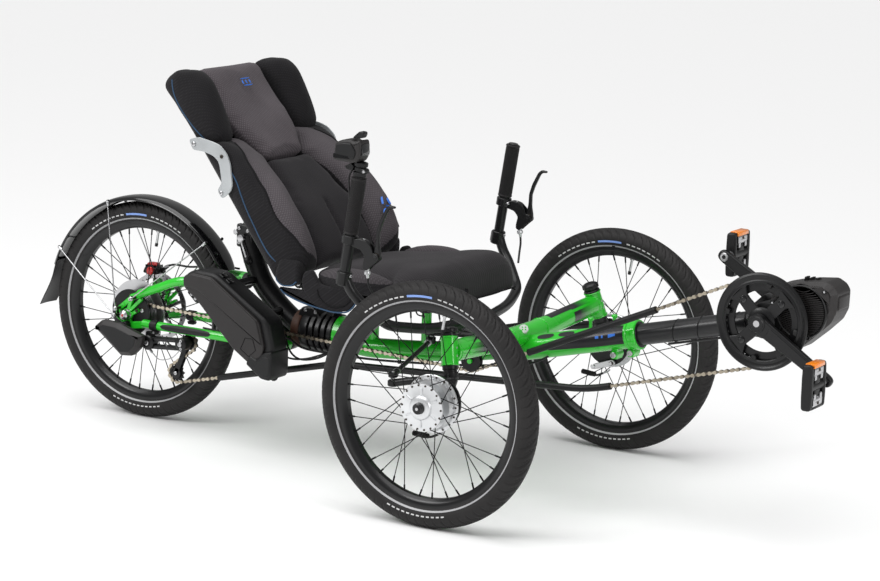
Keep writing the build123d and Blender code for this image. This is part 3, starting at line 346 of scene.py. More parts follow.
class Maker:
    """Collects many shapes into one mesh, each with a material."""

    def __init__(self):
        self.verts, self.faces, self.marks, self.materials = [], [], [], []

    def mark(self, material):
        if material not in self.materials:
            self.materials.append(material)
        return self.materials.index(material)

    def add(self, verts, faces, material, matrix=None):
        base, mark = len(self.verts), self.mark(material)
        self.verts += [matrix @ Vector(v) for v in verts] if matrix else [Vector(v) for v in verts]
        self.faces += [tuple(base + i for i in face) for face in faces]
        self.marks += [mark] * len(faces)
        return self

    def grid(self, rows, material, wrap_rows=False, wrap_columns=True, matrix=None):
        """Skin over rows of points, all of one length."""
        height, width = len(rows), len(rows[0])
        verts = [v for row in rows for v in row]
        faces = []
        for i in range(height if wrap_rows else height - 1):
            for j in range(width if wrap_columns else width - 1):
                a, b = i * width + j, i * width + (j + 1) % width
                c, d = ((i + 1) % height) * width + (j + 1) % width, ((i + 1) % height) * width + j
                faces.append((a, b, c, d))
        return self.add(verts, faces, material, matrix)

    def capped(self, rows, material, flip=False, matrix=None):
        """Skin over closed rows of points, with a flat face over the first and the last row."""
        ends = [tuple(reversed(range(len(rows[0])))), tuple(range(len(rows[0])))]
        self.grid(rows, material, matrix=matrix)
        for row, face in zip((rows[0], rows[-1]), reversed(ends) if flip else ends):
            self.add(row, [face], material, matrix)
        return self

    def tube(self, path, radius, material, sides=14, caps=True):
        """A round bar along points; radius is one number or one per point."""
        path = [Vector(p) for p in path]
        radii = radius if isinstance(radius, (list, tuple)) else [radius] * len(path)
        rows, normal = [], None
        for i, point in enumerate(path):
            along = (path[min(i + 1, len(path) - 1)] - path[max(i - 1, 0)]).normalized()
            if normal is None:
                normal = along.orthogonal().normalized()
            normal = (normal - along * normal.dot(along)).normalized()
            other = along.cross(normal)
            rows.append([point + (normal * cos(a) + other * sin(a)) * radii[i]
                         for a in turns(sides)])
        return self.capped(rows, material) if caps else self.grid(rows, material)

    def lathe(self, profile, centre, axis, material, steps=64, closed=False):
        """Profile of (radius, distance along axis) turned about an axis through centre."""
        axis = Vector(axis).normalized()
        side = axis.orthogonal().normalized()
        other = axis.cross(side)
        rows = []
        for a in turns(steps):
            out = side * cos(a) + other * sin(a)
            rows.append([Vector(centre) + out * r + axis * h for r, h in profile])
        self.grid(rows, material, wrap_rows=True, wrap_columns=closed)
        return self

    def slab(self, outline, low, high, material, corner=4.0, bevel=1.5, steps=2, matrix=None):
        """A plate drawn in millimetres from the front axle line, with rounded corners and edges."""
        outline = rounded([(x / 1000 + FRONT_AXLE_X, z / 1000) for x, z in outline], corner / 1000)
        if sum(a[0] * b[1] - b[0] * a[1] for a, b in zip(outline, outline[1:] + outline[:1])) > 0:
            outline = outline[::-1]
        low, high, bevel = low / 1000, high / 1000, bevel / 1000
        edge = [(bevel * (1 - sin(a)), bevel * (1 - cos(a)))
                for a in [pi / 2 * k / steps for k in range(steps + 1)]]
        levels = [(inset, low + rise) for inset, rise in edge] + [(inset, high - rise) for inset,
                                                                  rise in edge[::-1]]
        rows = [[(x, y, z) for x, z in (shrink(outline, inset) if inset else outline)] for inset, y in levels]
        return self.capped(rows, material, matrix=matrix)

    def bolt(self, spot, axis, radius, material, head=2.4):
        """A socket screw head; radius and head height in millimetres."""
        r, h = radius / 1000, head / 1000
        profile = [(0.0, h * 0.3), (r * 0.42, h * 0.3), (r * 0.48, h), (r * 0.82, h), (r, h * 0.7),
                   (r, -h * 0.6)]
        return self.lathe(profile, spot, axis, material, steps=18)

    def turned(self, profile, centre, axis, material, steps=48):
        """A lathe shape from (radius, distance) in millimetres."""
        return self.lathe([(r / 1000, h / 1000) for r, h in profile], centre, axis, material, steps)

    def rod(self, start, end, radius, material, sides=20, edge=1.0):
        """A round bar between two points, with chamfered ends; radius and edge in millimetres."""
        start, end, r, e = Vector(start), Vector(end), radius / 1000, edge / 1000
        along = (end - start).normalized()
        return self.tube([start, start + along * e, end - along * e, end], [r - e, r, r, r - e], material,
                         sides)

    def build(self, name, body, replaces=(), sharp=35.0):
        thing = mesh_object(name, self.verts, self.faces, self.materials, self.marks, sharp)
        return settle(thing, body, replaces)


def rounded(outline, radius, steps=4):
    """An outline with each corner turned into a short curve."""
    count, points = len(outline), []
    for i in range(count):
        before, here, after = (Vector(outline[(i + k) % count]) for k in (-1, 0, 1))
        first = here + (before - here).normalized() * min(radius, (before - here).length * 0.45)
        last = here + (after - here).normalized() * min(radius, (after - here).length * 0.45)
        points += [tuple(first * (1 - t) ** 2 + here * (2 * t * (1 - t)) + last * t ** 2)
                   for t in [k / steps for k in range(steps + 1)]]
    return points


def shrink(outline, amount):
    """Moves a clockwise outline's edges inwards by amount."""
    count, moved = len(outline), []
    for i in range(count):
        before, here, after = (Vector(outline[(i + k) % count]) for k in (-1, 0, 1))
        first, second = (here - before).normalized(), (after - here).normalized()
        n1, n2 = Vector((first.y, -first.x)), Vector((second.y, -second.x))
        joined = n1 + n2
        scale = amount / max(0.35, joined.length_squared / 2)
        moved.append(tuple(here + joined * scale))
    return moved


def settle(thing, body, replaces=()):
    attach(thing, body)
    if replaces:
        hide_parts(*replaces)
    return thing


def smooth_path(points, steps=8):
    """Catmull-Rom points through the given ones."""
    points = [Vector(p) for p in points]
    ends = [points[0] * 2 - points[1]] + points + [points[-1] * 2 - points[-2]]
    path = []
    for a, b, c, d in zip(ends, ends[1:], ends[2:], ends[3:]):
        for k in range(steps):
            t = k / steps
            path.append(0.5 * ((2 * b) + (c - a) * t + (2 * a - 5 * b + 4 * c - d) * t ** 2
                               + (3 * b - a - 3 * c + d) * t ** 3))
    return path + [points[-1]]


def finish_cad(name, material):
    """Gives a CAD part that is shown as it is its own finish."""
    thing = NODES[name]
    for slot in thing.material_slots:
        slot.material = MAT[material]
    if not thing.material_slots:
        thing.data.materials.append(MAT[material])


# ---------------------------------------------------------------- wheels
TYRE_TUBE = 0.0232
TYRE_MIDDLE = 0.2265
TREAD_BLOCKS = 72
SPOKES_PER_WHEEL = 36
RIM_BED = 0.1885


def tyre_profile(steps=40):
    """Outer skin of a tyre from one bead to the other: (radius, y) in metres."""
    angles = [radians(-128 + 256 * k / steps) for k in range(steps + 1)]
    return [(TYRE_MIDDLE + TYRE_TUBE * cos(a), TYRE_TUBE * sin(a)) for a in angles]


def on_wall(radius, side):
    """The y of a mark laid on the tyre's wall at one radius, just clear of the rubber."""
    return side * (sqrt(TYRE_TUBE ** 2 - (radius - TYRE_MIDDLE) ** 2) + 0.0004)


def tread_depth(angle, y, radius):
    """How far the tread is cut in: curved shoulder grooves, short cuts between them, two centre lines."""
    across = abs(y) / TYRE_TUBE
    if radius < 0.2290:
        return 0.0
    pitch = 2 * pi / TREAD_BLOCKS
    turn = angle / pitch + (0.5 if y > 0 else 0.0)
    sweep = 2.1 * across - 0.55 * across ** 2.5
    long_groove = (turn + sweep) % 1
    short_groove = (turn + sweep + 0.5) % 1
    depth = 0.0
    if across > 0.22 and long_groove < 0.2:
        depth = 0.0027
    if 0.45 < across < 0.72 and short_groove < 0.13:
        depth = 0.0016
    if 0.14 < across < 0.22:
        depth = max(depth, 0.0018)
    if across <= 0.14 and (turn * 0.5) % 1 < 0.10:
        depth = 0.0013
    return depth


def make_tyre(place, centre, body):
    """A tyre with cut tread, a pale ring round each wall, and plain dashes beside a blue bar."""
    maker = Maker()
    profile = tyre_profile()
    rows = [[centre + around(a, r - tread_depth(a, y, r), y) for r, y in profile]
            for a in turns(TREAD_BLOCKS * 16)]
    maker.grid(rows, MAT["tyre"], wrap_rows=True, wrap_columns=False)
    inner = [(profile[-1][0], profile[-1][1]), (0.200, 0.0105), (0.200, -0.0105),
             (profile[0][0], profile[0][1])]
    maker.lathe(inner, centre, (0, 1, 0), MAT["tyre"], steps=120)
    for side in (-1, 1):
        bow = [(radius, on_wall(radius, side)) for radius in (0.2105, 0.2122, 0.2139)]
        maker.lathe(bow if side > 0 else bow[::-1], centre, (0, 1, 0), MAT["stripe"], steps=160)
        marks = [(86, 15, "band_blue")]
        for first, step, length, count in ((60, 3.4, 2.2, 7), (103, 3.4, 2.2, 8), (250, 3.0, 1.8, 12)):
            marks += [(first + step * k, length, "band_white") for k in range(count)]
        for start, length, colour in marks:
            radii = (0.2205, 0.2228, 0.225) if colour == "band_blue" else (0.2212, 0.2226, 0.224)
            rows = [[centre + around(radians(start + length * k / 12), radius, on_wall(radius, side))
                     for radius in radii] for k in range(13)]
            maker.grid(rows if side < 0 else rows[::-1], MAT[colour], wrap_columns=False)
    return maker.build(f"tyre_skin_{place}", body, [f"tyre_{place}"], sharp=50)


def make_rim(place, centre, body):
    """A hollow rim with its valve near the top."""
    maker = Maker()
    half = 0.0135
    profile = [(0.2080, half + 0.0012), (0.2085, half - 0.0004), (0.1980, half - 0.0012), (0.1978, 0.0),
               (0.1980, 0.0012 - half), (0.2085, 0.0004 - half), (0.2080, -half - 0.0012),
               (0.2055, -half - 0.0016), (0.1975, -half - 0.0002), (0.1930, -0.0105), (0.1889, -0.006),
               (0.1884, 0.0), (0.1889, 0.006), (0.1930, 0.0105), (0.1975, half + 0.0002),
               (0.2055, half + 0.0016)]
    maker.lathe(profile, centre, (0, 1, 0), MAT["rim"], steps=144, closed=True)
    out = around(radians(80))
    maker.tube([centre + out * 0.189, centre + out * 0.160], 0.0030, MAT["steel"], 12)
    maker.tube([centre + out * 0.160, centre + out * 0.158, centre + out * 0.152], [0.0030, 0.0038, 0.0036],
               MAT["cable"], 12)
    maker.tube([centre + out * RIM_BED, centre + out * 0.1855], 0.0052, MAT["steel"], 12)
    return maker.build(f"rim_hoop_{place}", body, [f"rim_{place}"])


def make_spokes(place, centre, body, flanges):
    """Straight spokes with a nipple at the rim; neighbours lean opposite ways."""
    maker = Maker()
    for index, rim_a in enumerate(turns(SPOKES_PER_WHEEL, 0.5)):
        radius, y = flanges[index % 2]
        way = 1 if index // 2 % 2 else -1
        foot = centre + around(rim_a + way * radians(38), radius, y + 0.0014 * way)
        top = centre + around(rim_a, RIM_BED, 0.003 if y > 0 else -0.003)
        along = (top - foot).normalized()
        maker.tube([foot, top - along * 0.012], 0.0010, MAT["spoke"], 8)
        maker.tube([top - along * 0.013, top - along * 0.012, top], [0.0013, 0.0019, 0.0019], MAT["spoke"], 8)
    return maker.build(f"spoke_set_{place}", body, [f"spokes_{place}"])


def make_front_hub(side_name, side):
    """Silver drum hub: brake drum towards the middle, spoke flange outside, bolts, ribs and short fins."""
    maker = Maker()
    centre = mm(0, side * HALF_TRACK, AXLE_HEIGHT)
    axis = (0, side, 0)
    alloy = MAT["alloy"]
    drum = [(0.012, -0.027), (0.050, -0.027), (0.053, -0.0255), (0.0535, -0.018), (0.0585, -0.0175),
            (0.0600, -0.016), (0.0600, -0.0135), (0.0585, -0.0125), (0.0530, -0.012), (0.0520, -0.004),
            (0.0490, 0.002), (0.030, 0.0045), (0.0245, 0.008), (0.0225, 0.014), (0.0245, 0.021),
            (0.034, 0.0225), (0.0485, 0.0228), (0.0495, 0.0240), (0.0485, 0.0265), (0.034, 0.0270),
            (0.0250, 0.0285), (0.0235, 0.0330), (0.0215, 0.0345), (0.0120, 0.0350)]
    maker.lathe(drum, centre, axis, alloy, steps=96)
    for a in turns(18):
        for radius, y in ((0.0560, -0.0115), (0.0450, 0.0272)):
            maker.lathe([(0.0, 0.0006), (0.0021, 0.0004), (0.0023, -0.0015)], centre
                        + around(a, radius, side * y), axis, MAT["chain_dark"], steps=10)
    for a in turns(6, 0.5):
        maker.tube([centre + around(a, r, side * y) for r, y in ((0.026, 0.0275), (0.040, 0.0278))], 0.0022,
                   alloy, 8)
    for a in turns(30):
        maker.tube([centre + around(a, 0.0530, side * y) for y in (-0.0115, -0.005)], 0.0012, alloy, 6)
    return maker.build(f"drum_hub_{side_name}", f"front_wheel_{side_name}",
                       [f"hub_front_{side_name}"])


def make_rear_hub():
    """A narrow hub shell with two spoke flanges and the seat of the brake disc."""
    maker = Maker()
    centre = beside(REAR_AXLE)
    shell = [(0.0085, -0.028), (0.0325, -0.028), (0.0335, -0.0268), (0.0325, -0.0252), (0.022, -0.0235),
             (0.0185, -0.015), (0.0175, 0.0), (0.019, 0.018), (0.023, 0.0265), (0.0325, 0.0282),
             (0.0335, 0.0296), (0.0325, 0.0308), (0.0245, 0.0318), (0.0240, 0.0398), (0.0085, 0.040)]
    maker.lathe(shell, centre, (0, 1, 0), MAT["black_paint"], steps=64)
    return maker.build("rear_hub_shell", "rear_wheel", ["hub_rear"])


def make_rotor():
    """Brake disc with wavy drilled band and six arms."""
    maker = Maker()
    centre = beside(REAR_AXLE, 45.4)
    steel = MAT["steel"]
    rows = []
    for a in turns(180):
        outer = 0.0795 - 0.0012 * (0.5 + 0.5 * cos(12 * a))
        inner = 0.0655 + 0.0015 * (0.5 + 0.5 * cos(12 * a))
        ring = [(inner, -0.0009), (outer, -0.0009), (outer, 0.0009), (inner, 0.0009)]
        rows.append([centre + around(a, r, y) for r, y in ring])
    maker.grid(rows, steel, wrap_rows=True)
    for k, a in enumerate(turns(36)):
        spot = centre + around(a, 0.0705 + 0.003 * (k % 3 - 1))
        for side in (-1, 1):
            maker.lathe([(0.0, 0.0010), (0.0023, 0.0010), (0.0026, 0.0008)], spot, (0, side, 0),
                        MAT["chain_dark"], steps=10)
    flatten = Matrix.Translation(centre) @ Matrix.Diagonal((1, 0.28, 1, 1)) @ Matrix.Translation(-centre)
    for a in turns(6):
        path = [centre + around(a + turn, r) for r, turn in ((0.020, 0.0), (0.035, 0.14), (0.052, 0.24),
                                                             (0.066, 0.28))]
        arm = Maker()
        arm.tube(smooth_path(path, 4), 0.0042, steel, 10)
        maker.add(arm.verts, arm.faces, steel, flatten)
    maker.lathe([(0.0085, -0.005), (0.023, -0.005), (0.024, -0.0015), (0.024, 0.0009), (0.018, 0.0012),
                 (0.0085, 0.0012)], centre, (0, 1, 0), steel, steps=48)
    return maker.build("brake_disc", "rear_wheel", ["disc_rotor"])


def make_wheels():
    """All three wheels; the front pair mirror each other."""
    front = [(0.0575, -0.0150), (0.0470, 0.0252)]
    for name, side in SIDES.items():
        place, centre, body = f"front_{name}", mm(0, side * HALF_TRACK, AXLE_HEIGHT), f"front_wheel_{name}"
        make_tyre(place, centre, body)
        make_rim(place, centre, body)
        make_spokes(place, centre, body, [(r, side * y) for r, y in front])
        make_front_hub(name, side)
    centre = beside(REAR_AXLE)
    make_tyre("rear", centre, "rear_wheel")
    make_rim("rear", centre, "rear_wheel")
    make_spokes("rear", centre, "rear_wheel", [(0.032, -0.0268), (0.032, 0.0296)])
    make_rear_hub()
    make_rotor()


# ---------------------------------------------------------------- seat
BACK_ORIGIN = mm(-464, 0, 425)
BACK_NORMAL = Vector((0.8015, 0, 0.598))
BACK_UP = Vector((-0.598, 0, 0.8015))


def back_point(n, y, t):
    """Backrest coordinates in millimetres: n out of the back, y to the left, t up the back."""
    return BACK_ORIGIN + (BACK_NORMAL * n + BACK_UP * t) / 1000 + Vector((0, y / 1000, 0))


def back_local(point):
    """The backrest coordinates (n, y, t) of a point."""
    away = (Vector(point) - BACK_ORIGIN) * 1000
    return away.dot(BACK_NORMAL), away.y, away.dot(BACK_UP)


def track(knots, at):
    """Smooth value through (position, value) knots."""
    if at <= knots[0][0]:
        return knots[0][1]
    for i in range(len(knots) - 1):
        (a, va), (b, vb) = knots[i], knots[i + 1]
        if at <= b:
            before = knots[i - 1] if i else (a - (b - a), 2 * va - vb)
            after = knots[i + 2] if i + 2 < len(knots) else (b + (b - a), 2 * vb - va)
            m1 = (vb - before[1]) / (b - before[0]) * (b - a)
            m2 = (after[1] - va) / (after[0] - a) * (b - a)
            u = (at - a) / (b - a)
            return (va * (2 * u ** 3 - 3 * u ** 2 + 1) + m1 * (u ** 3 - 2 * u ** 2 + u)
                    + vb * (3 * u ** 2 - 2 * u ** 3) + m2 * (u ** 3 - u ** 2))
    return knots[-1][1]


def pad_from_rings(name, rings, body, materials, replaces=(), voxel=0.0055, cap=0.006):
    """Closed pad through cross-section rings, puffed by a short cloth simulation."""
    maker = Maker()
    maker.grid(rings, materials[0])
    count = len(rings[0])
    for ring, flip in ((rings[0], True), (rings[-1], False)):
        middle = sum(ring, Vector()) / count
        fan = [(count, (i + 1) % count, i) if flip else (count, i, (i + 1) % count) for i in range(count)]
        maker.add(list(ring) + [middle], fan, materials[0])
    thing = mesh_object(name, maker.verts, maker.faces, materials)
    shape = bmesh.new()
    shape.from_mesh(thing.data)
    bmesh.ops.remove_doubles(shape, verts=shape.verts, dist=0.00005)
    bmesh.ops.recalc_face_normals(shape, faces=shape.faces)
    shape.to_mesh(thing.data)
    shape.free()
    remesh = thing.modifiers.new("voxels", "REMESH")
    remesh.mode, remesh.voxel_size = "VOXEL", voxel
    apply_modifiers(thing)
    puff(thing, cap)
    smooth = thing.modifiers.new("relax", "SMOOTH")
    smooth.factor, smooth.iterations = 0.5, 4
    finer = thing.modifiers.new("finer", "SUBSURF")
    finer.levels = finer.render_levels = 1
    apply_modifiers(thing)
    for face in thing.data.polygons:
        face.use_smooth = True
    settle(thing, body, replaces)
    return thing


def apply_modifiers(thing):
    """Replaces the mesh with its modified self."""
    graph = bpy.context.evaluated_depsgraph_get()
    mesh = bpy.data.meshes.new_from_object(thing.evaluated_get(graph))
    thing.modifiers.clear()
    thing.data = mesh


CLOTH_FRAMES = 20


def puff(thing, cap):
    """Cloth pressure for a few frames, with each point's move capped."""
    scene = bpy.context.scene
    start = np.empty(len(thing.data.vertices) * 3)
    thing.data.vertices.foreach_get("co", start)
    cloth = thing.modifiers.new("cloth", "CLOTH")
    cloth.settings.use_pressure = True
    cloth.settings.uniform_pressure_force = 4.0
    cloth.settings.effector_weights.gravity = 0.0
    cloth.settings.quality = 5
    cloth.settings.tension_stiffness = 15
    cloth.settings.bending_stiffness = 0.6
    cloth.collision_settings.use_collision = False
    cloth.point_cache.frame_start, cloth.point_cache.frame_end = 1, CLOTH_FRAMES
    for step in range(1, CLOTH_FRAMES + 1):
        scene.frame_set(step)
    graph = bpy.context.evaluated_depsgraph_get()
    moved = thing.evaluated_get(graph).to_mesh()
    end = np.empty(len(moved.vertices) * 3)
    moved.vertices.foreach_get("co", end)
    thing.modifiers.clear()
    scene.frame_set(1)
    if len(end) == len(start):
        shift = (end - start).reshape(-1, 3)
        length = np.linalg.norm(shift, axis=1)
        shift *= np.minimum(1.0, cap / np.maximum(length, 1e-9))[:, None]
        thing.data.vertices.foreach_set("co", start + shift.ravel())
        thing.data.update()


def mark_faces(thing, choose):
    """Gives each face the material that choose(point) returns."""
    for face in thing.data.polygons:
        face.material_index = choose(face.center)


# The backrest's outlines, each a list of (t up the back, value) in millimetres.
HEAD_EDGE = [(266, 66), (276, 74), (300, 86), (340, 104), (385, 116), (440, 117), (512, 117)]
LUMBAR_EDGE = [(14, 116), (60, 121), (130, 123), (175, 112), (230, 94), (274, 75)]
LUMBAR_RISE = [(12, 20), (45, 27), (125, 31), (185, 24), (276, 9), (390, 3), (485, 1), (515, -4)]
CREST_RISE = [(8, 30), (28, 44), (60, 53), (94, 58), (135, 56), (177, 51), (226, 38), (274, 22), (329, 4),
              (352, -6)]
STRIPE_SEAM = [(4, 128), (28, 180), (70, 195), (132, 200), (200, 192), (266, 177), (310, 158), (350, 134)]
WING_CREST = [(326, -4), (345, 8), (400, 28), (455, 40), (480, 36), (500, 24), (512, 4)]


def back_edge(t):
    """Half the width of the middle panels, t millimetres up the back."""
    return track(LUMBAR_EDGE, t) if t < 274 else track(HEAD_EDGE, t)


def dome(s, sharp=3.0):
    """Crown across a pad: 0 at both edges, 1 in the middle."""
    return (1 - abs(2 * s - 1) ** sharp) ** (1 / 2)


def lean(t):
    """How far the upper pads sit behind the flat back plane."""
    u = min(1.0, max(0.0, (t - 300) / 170))
    return -9 * u * u * (3 - 2 * u)


def make_head_panel():
    """The upper grey panel of the backrest."""
    rings = []
    for k in range(27):
        t = 271 + (521 - 271) * k / 26
        half = track(HEAD_EDGE, t) - 2
        ends = min(1, ((t - 268) / 10)) ** 0.5 * min(1, max(0.0, (524 - t) / 14)) ** 0.5
        ring = []
        for j in range(25):
            s = j / 24
            y = half * (2 * s - 1)
            n = track(LUMBAR_RISE, t) - 12 + 14 * dome(s, 6) * ends + lean(t)
            ring.append(back_point(n, y, t))
        for j in range(9):
            y = half * (1 - 2 * j / 8) * 0.97
            ring.append(back_point(-34 + 12 * (1 - ends), y, t))
        rings.append(ring)
    return pad_from_rings("head_panel", rings, "backrest", [MAT["grey_cloth"]],
                          ["back_cushion"], cap=0.004)


def make_lumbar_panel():
    """The lower middle panel, with a shallow channel down its middle."""
    rings = []
    for k in range(30):
        t = 3 + (270 - 3) * k / 29
        half = track(LUMBAR_EDGE, t) - 2
        ends = min(1, ((t + 3) / 16)) ** 0.5 * min(1, max(0.0, (273 - t) / 10)) ** 0.5
        ring = []
        for j in range(49):
            s = j / 48
            y = half * (2 * s - 1)
            channel = (9 * exp(-(y / 5.5) ** 2) * min(1, max(0, (150 - t) / 20))
                       * min(1, max(0, (t - 16) / 14)))
            n = track(LUMBAR_RISE, t) - 14 + 16 * dome(s, 7) * ends - channel
            ring.append(back_point(n, y, t))
        for j in range(9):
            ring.append(back_point(-34 + 10 * (1 - ends), half * (1 - 2 * j / 8) * 0.97, t))
        rings.append(ring)
    return pad_from_rings("lumbar_panel", rings, "backrest", [MAT["lumbar_cloth"]],
                          cap=0.004, voxel=0.005)


def make_side_bolster(name, side):
    """One side pad: black, with a grey stripe that faces the rider, a seam and blue piping."""
    rings = []
    for k in range(34):
        t = -3 + (350 + 3) * k / 33
        inner = back_edge(t) + 2.5
        low_n = track(LUMBAR_RISE, t) - 14
        crest = track(CREST_RISE, t) + track([(6, 8), (60, 10), (200, 10), (270, 1), (350, -8)], t)
        outer = track([(-3, 184), (30, 197), (90, 199), (230, 199), (300, 197), (350, 193)], t)
        seam_y = min(track(STRIPE_SEAM, t), outer - 1)
        seam_n = min(crest - 6, track([(4, 16), (60, 30), (130, 28), (266, 14), (350, -10)], t))
        ends = min(1, max(0.0, (t + 7) / 14)) ** 0.5 * min(1, max(0.02, (352 - t) / 26)) ** 0.5
        crest_y = inner + (outer - inner) * 0.66
        front = [(low_n, inner), (low_n + (crest - low_n) * 0.55, inner + (crest_y - inner) * 0.22),
                 (low_n + (crest - low_n) * 0.88, inner + (crest_y - inner) * 0.58), (crest, crest_y),
                 ((crest + seam_n) / 2 + 7, (crest_y + outer) / 2 + 4), (seam_n, outer - 1.5),
                 (seam_n * 0.4 - 14, outer), (-36, outer), (-51, outer - 3), (-55, outer - 14)]
        line = smooth_path([Vector((n, y, 0)) for n, y in front], 4)
        ring = [back_point(-36 + (p.x + 36) * (0.35 + 0.65 * ends), side * (p.y * (0.94 + 0.06 * ends)), t)
                for p in line]
        ring += [back_point(-44, side * (outer - 40), t), back_point(-40, side * (inner + 14), t),
                 back_point(-36, side * inner, t)]
        rings.append(ring)
    pad = pad_from_rings(f"side_bolster_{name}", rings, "backrest",
                         [MAT["black_cloth"], MAT["stripe_cloth"]], ["back_side_pads"], cap=0.0035)

    edge = [(4, 8), (60, 17), (130, 21), (200, 17), (240, 6), (266, -6), (350, -22)]

    def choose(point):
        n, y, t = back_local(point)
        return 1 if abs(y) < track(STRIPE_SEAM, t) - 0.5 and n > track(edge, t) and t < 347 else 0
    mark_faces(pad, choose)
    line = []
    for t in range(34, 340, 12):
        along = Vector((0, -side, 0))
        hit, spot, _, _ = pad.ray_cast(back_point(max(track(edge, t), -2) + 1, side * 260, t), along)
        seam_y = track(STRIPE_SEAM, t)
        if hit and abs(spot.y) * 1000 > seam_y:
            hit, spot, _, _ = pad.ray_cast(back_point(140, side * seam_y, t), -BACK_NORMAL)
        if hit:
            line.append(spot.copy())
    cord_line(f"stripe_piping_{name}", line, 0.0021, MAT["seam"])
    rear = [(-12, 22), (-24, 60), (-27, 93), (-24, 135), (-20, 177), (-14, 210), (-8, 243), (-12, 300),
            (-24, 336)]
    cord_line(f"side_piping_{name}", sewn_on(pad, side, rear), 0.0016, MAT["piping"])
    return pad


def sewn_on(pad, side, spots):
    """Points on a pad's outer side at the given (n, t) spots."""
    line = []
    for n, t in spots:
        hit, spot, _, _ = pad.ray_cast(back_point(n, side * 300, t), Vector((0, -side, 0)))
        if hit and abs(spot.y) > 0.150:
            line.append(spot.copy())
    return line


def make_wing(name, side):
    """One wing beside the head panel, with blue piping behind."""
    rings = []
    for k in range(24):
        t = 328 + (522 - 328) * k / 23
        inner = track([(328, 132), (345, 124), (385, 120), (512, 120)], t) + 1
        outer = track([(328, 178), (350, 192), (400, 199), (496, 199), (516, 193), (522, 184)], t)
        crest = track(WING_CREST, t)
        low_n = track([(328, -14), (400, -10), (513, -16)], t)
        ends = min(1, max(0.0, (t - 322) / 18)) ** 0.5 * min(1, max(0.0, (526 - t) / 16)) ** 0.5
        crest_y = inner + (outer - inner) * 0.62
        front = [(low_n, inner), (low_n + (crest - low_n) * 0.5, inner + 7),
                 (crest - 3, (inner + crest_y) / 2), (crest, crest_y), (crest * 0.55, outer - 8),
                 (-6, outer), (-30, outer), (-48, outer - 3), (-54, outer - 14)]
        front = [(n + lean(t), y) for n, y in front]
        line = smooth_path([Vector((n, y, 0)) for n, y in front], 4)
        ring = [back_point(-34 + (p.x + 34) * (0.3 + 0.7 * ends),
                           side * (158 + (p.y - 158) * (0.82 + 0.18 * ends)), t) for p in line]
        ring += [back_point(-44, side * (inner + 18), t), back_point(-36, side * (inner + 1), t)]
        rings.append(ring)
    pad = pad_from_rings(f"head_wing_{name}", rings, "backrest", [MAT["black_cloth"]],
                         cap=0.005)
    rear = [(-30, 348), (-36, 380), (-40, 410), (-42, 440), (-40, 470), (-34, 492), (-28, 506)]
    cord_line(f"wing_piping_{name}", sewn_on(pad, side, rear), 0.0016, MAT["piping"])
    return pad


def cord_line(name, points, radius, material):
    """Piping along points on the backrest's pads."""
    maker = Maker()
    maker.tube(smooth_path(points, 6), radius, material, 10)
    return maker.build(name, "backrest", sharp=60)


def make_back_trim():
    """The rear sling panel that closes the back of the pads."""
    sling = Maker()
    rows = []
    for k in range(25):
        t = 22 + (512 - 22) * k / 24
        half = track([(22, 168), (60, 186), (440, 186), (500, 140), (512, 124)], t)
        rows.append([back_point(-40 - 2.5 * cos(pi * (j / 16 - 0.5)), half * (2 * j / 16 - 1), t)
                     for j in range(17)] +
                    [back_point(-43 - 3.5 * cos(pi * (j / 16 - 0.5)), half * (1 - 2 * j / 16), t)
                     for j in range(17)])
    sling.capped(rows, MAT["black_cloth"])
    sling.build("back_sling", "backrest")


SEAT_TOP = [(-450, 430), (-400, 439), (-330, 447), (-250, 457), (-180, 464), (-156, 461), (-145, 450),
            (-139, 434)]


def make_seat_base():
    """The wide seat pad, with its front edge turned down."""
    rings = []
    for k in range(34):
        x = -452 + (-138 + 452) * k / 33
        half = track([(-452, 140), (-430, 150), (-300, 152), (-252, 160), (-225, 186), (-190, 193),
                      (-165, 193), (-146, 189), (-138, 180)], x)
        top = track(SEAT_TOP, x)
        base = track([(-452, 416), (-436, 402), (-190, 400), (-172, 398), (-164, 386), (-156, 376),
                      (-146, 373), (-138, 380)], x)
        ring = []
        for j in range(41):
            s = j / 40
            y = half * (2 * s - 1)
            ring.append(mm(x, y, base + 10 + (top - base - 10) * dome(s, 8)))
        for j in range(13):
            ring.append(mm(x, half * (1 - 2 * j / 12) * 0.96, base))
        rings.append(ring)
    return pad_from_rings("seat_base_pad", rings, "frame", [MAT["seat_cloth"]], ["seat_pads"],
                          cap=0.005, voxel=0.006)


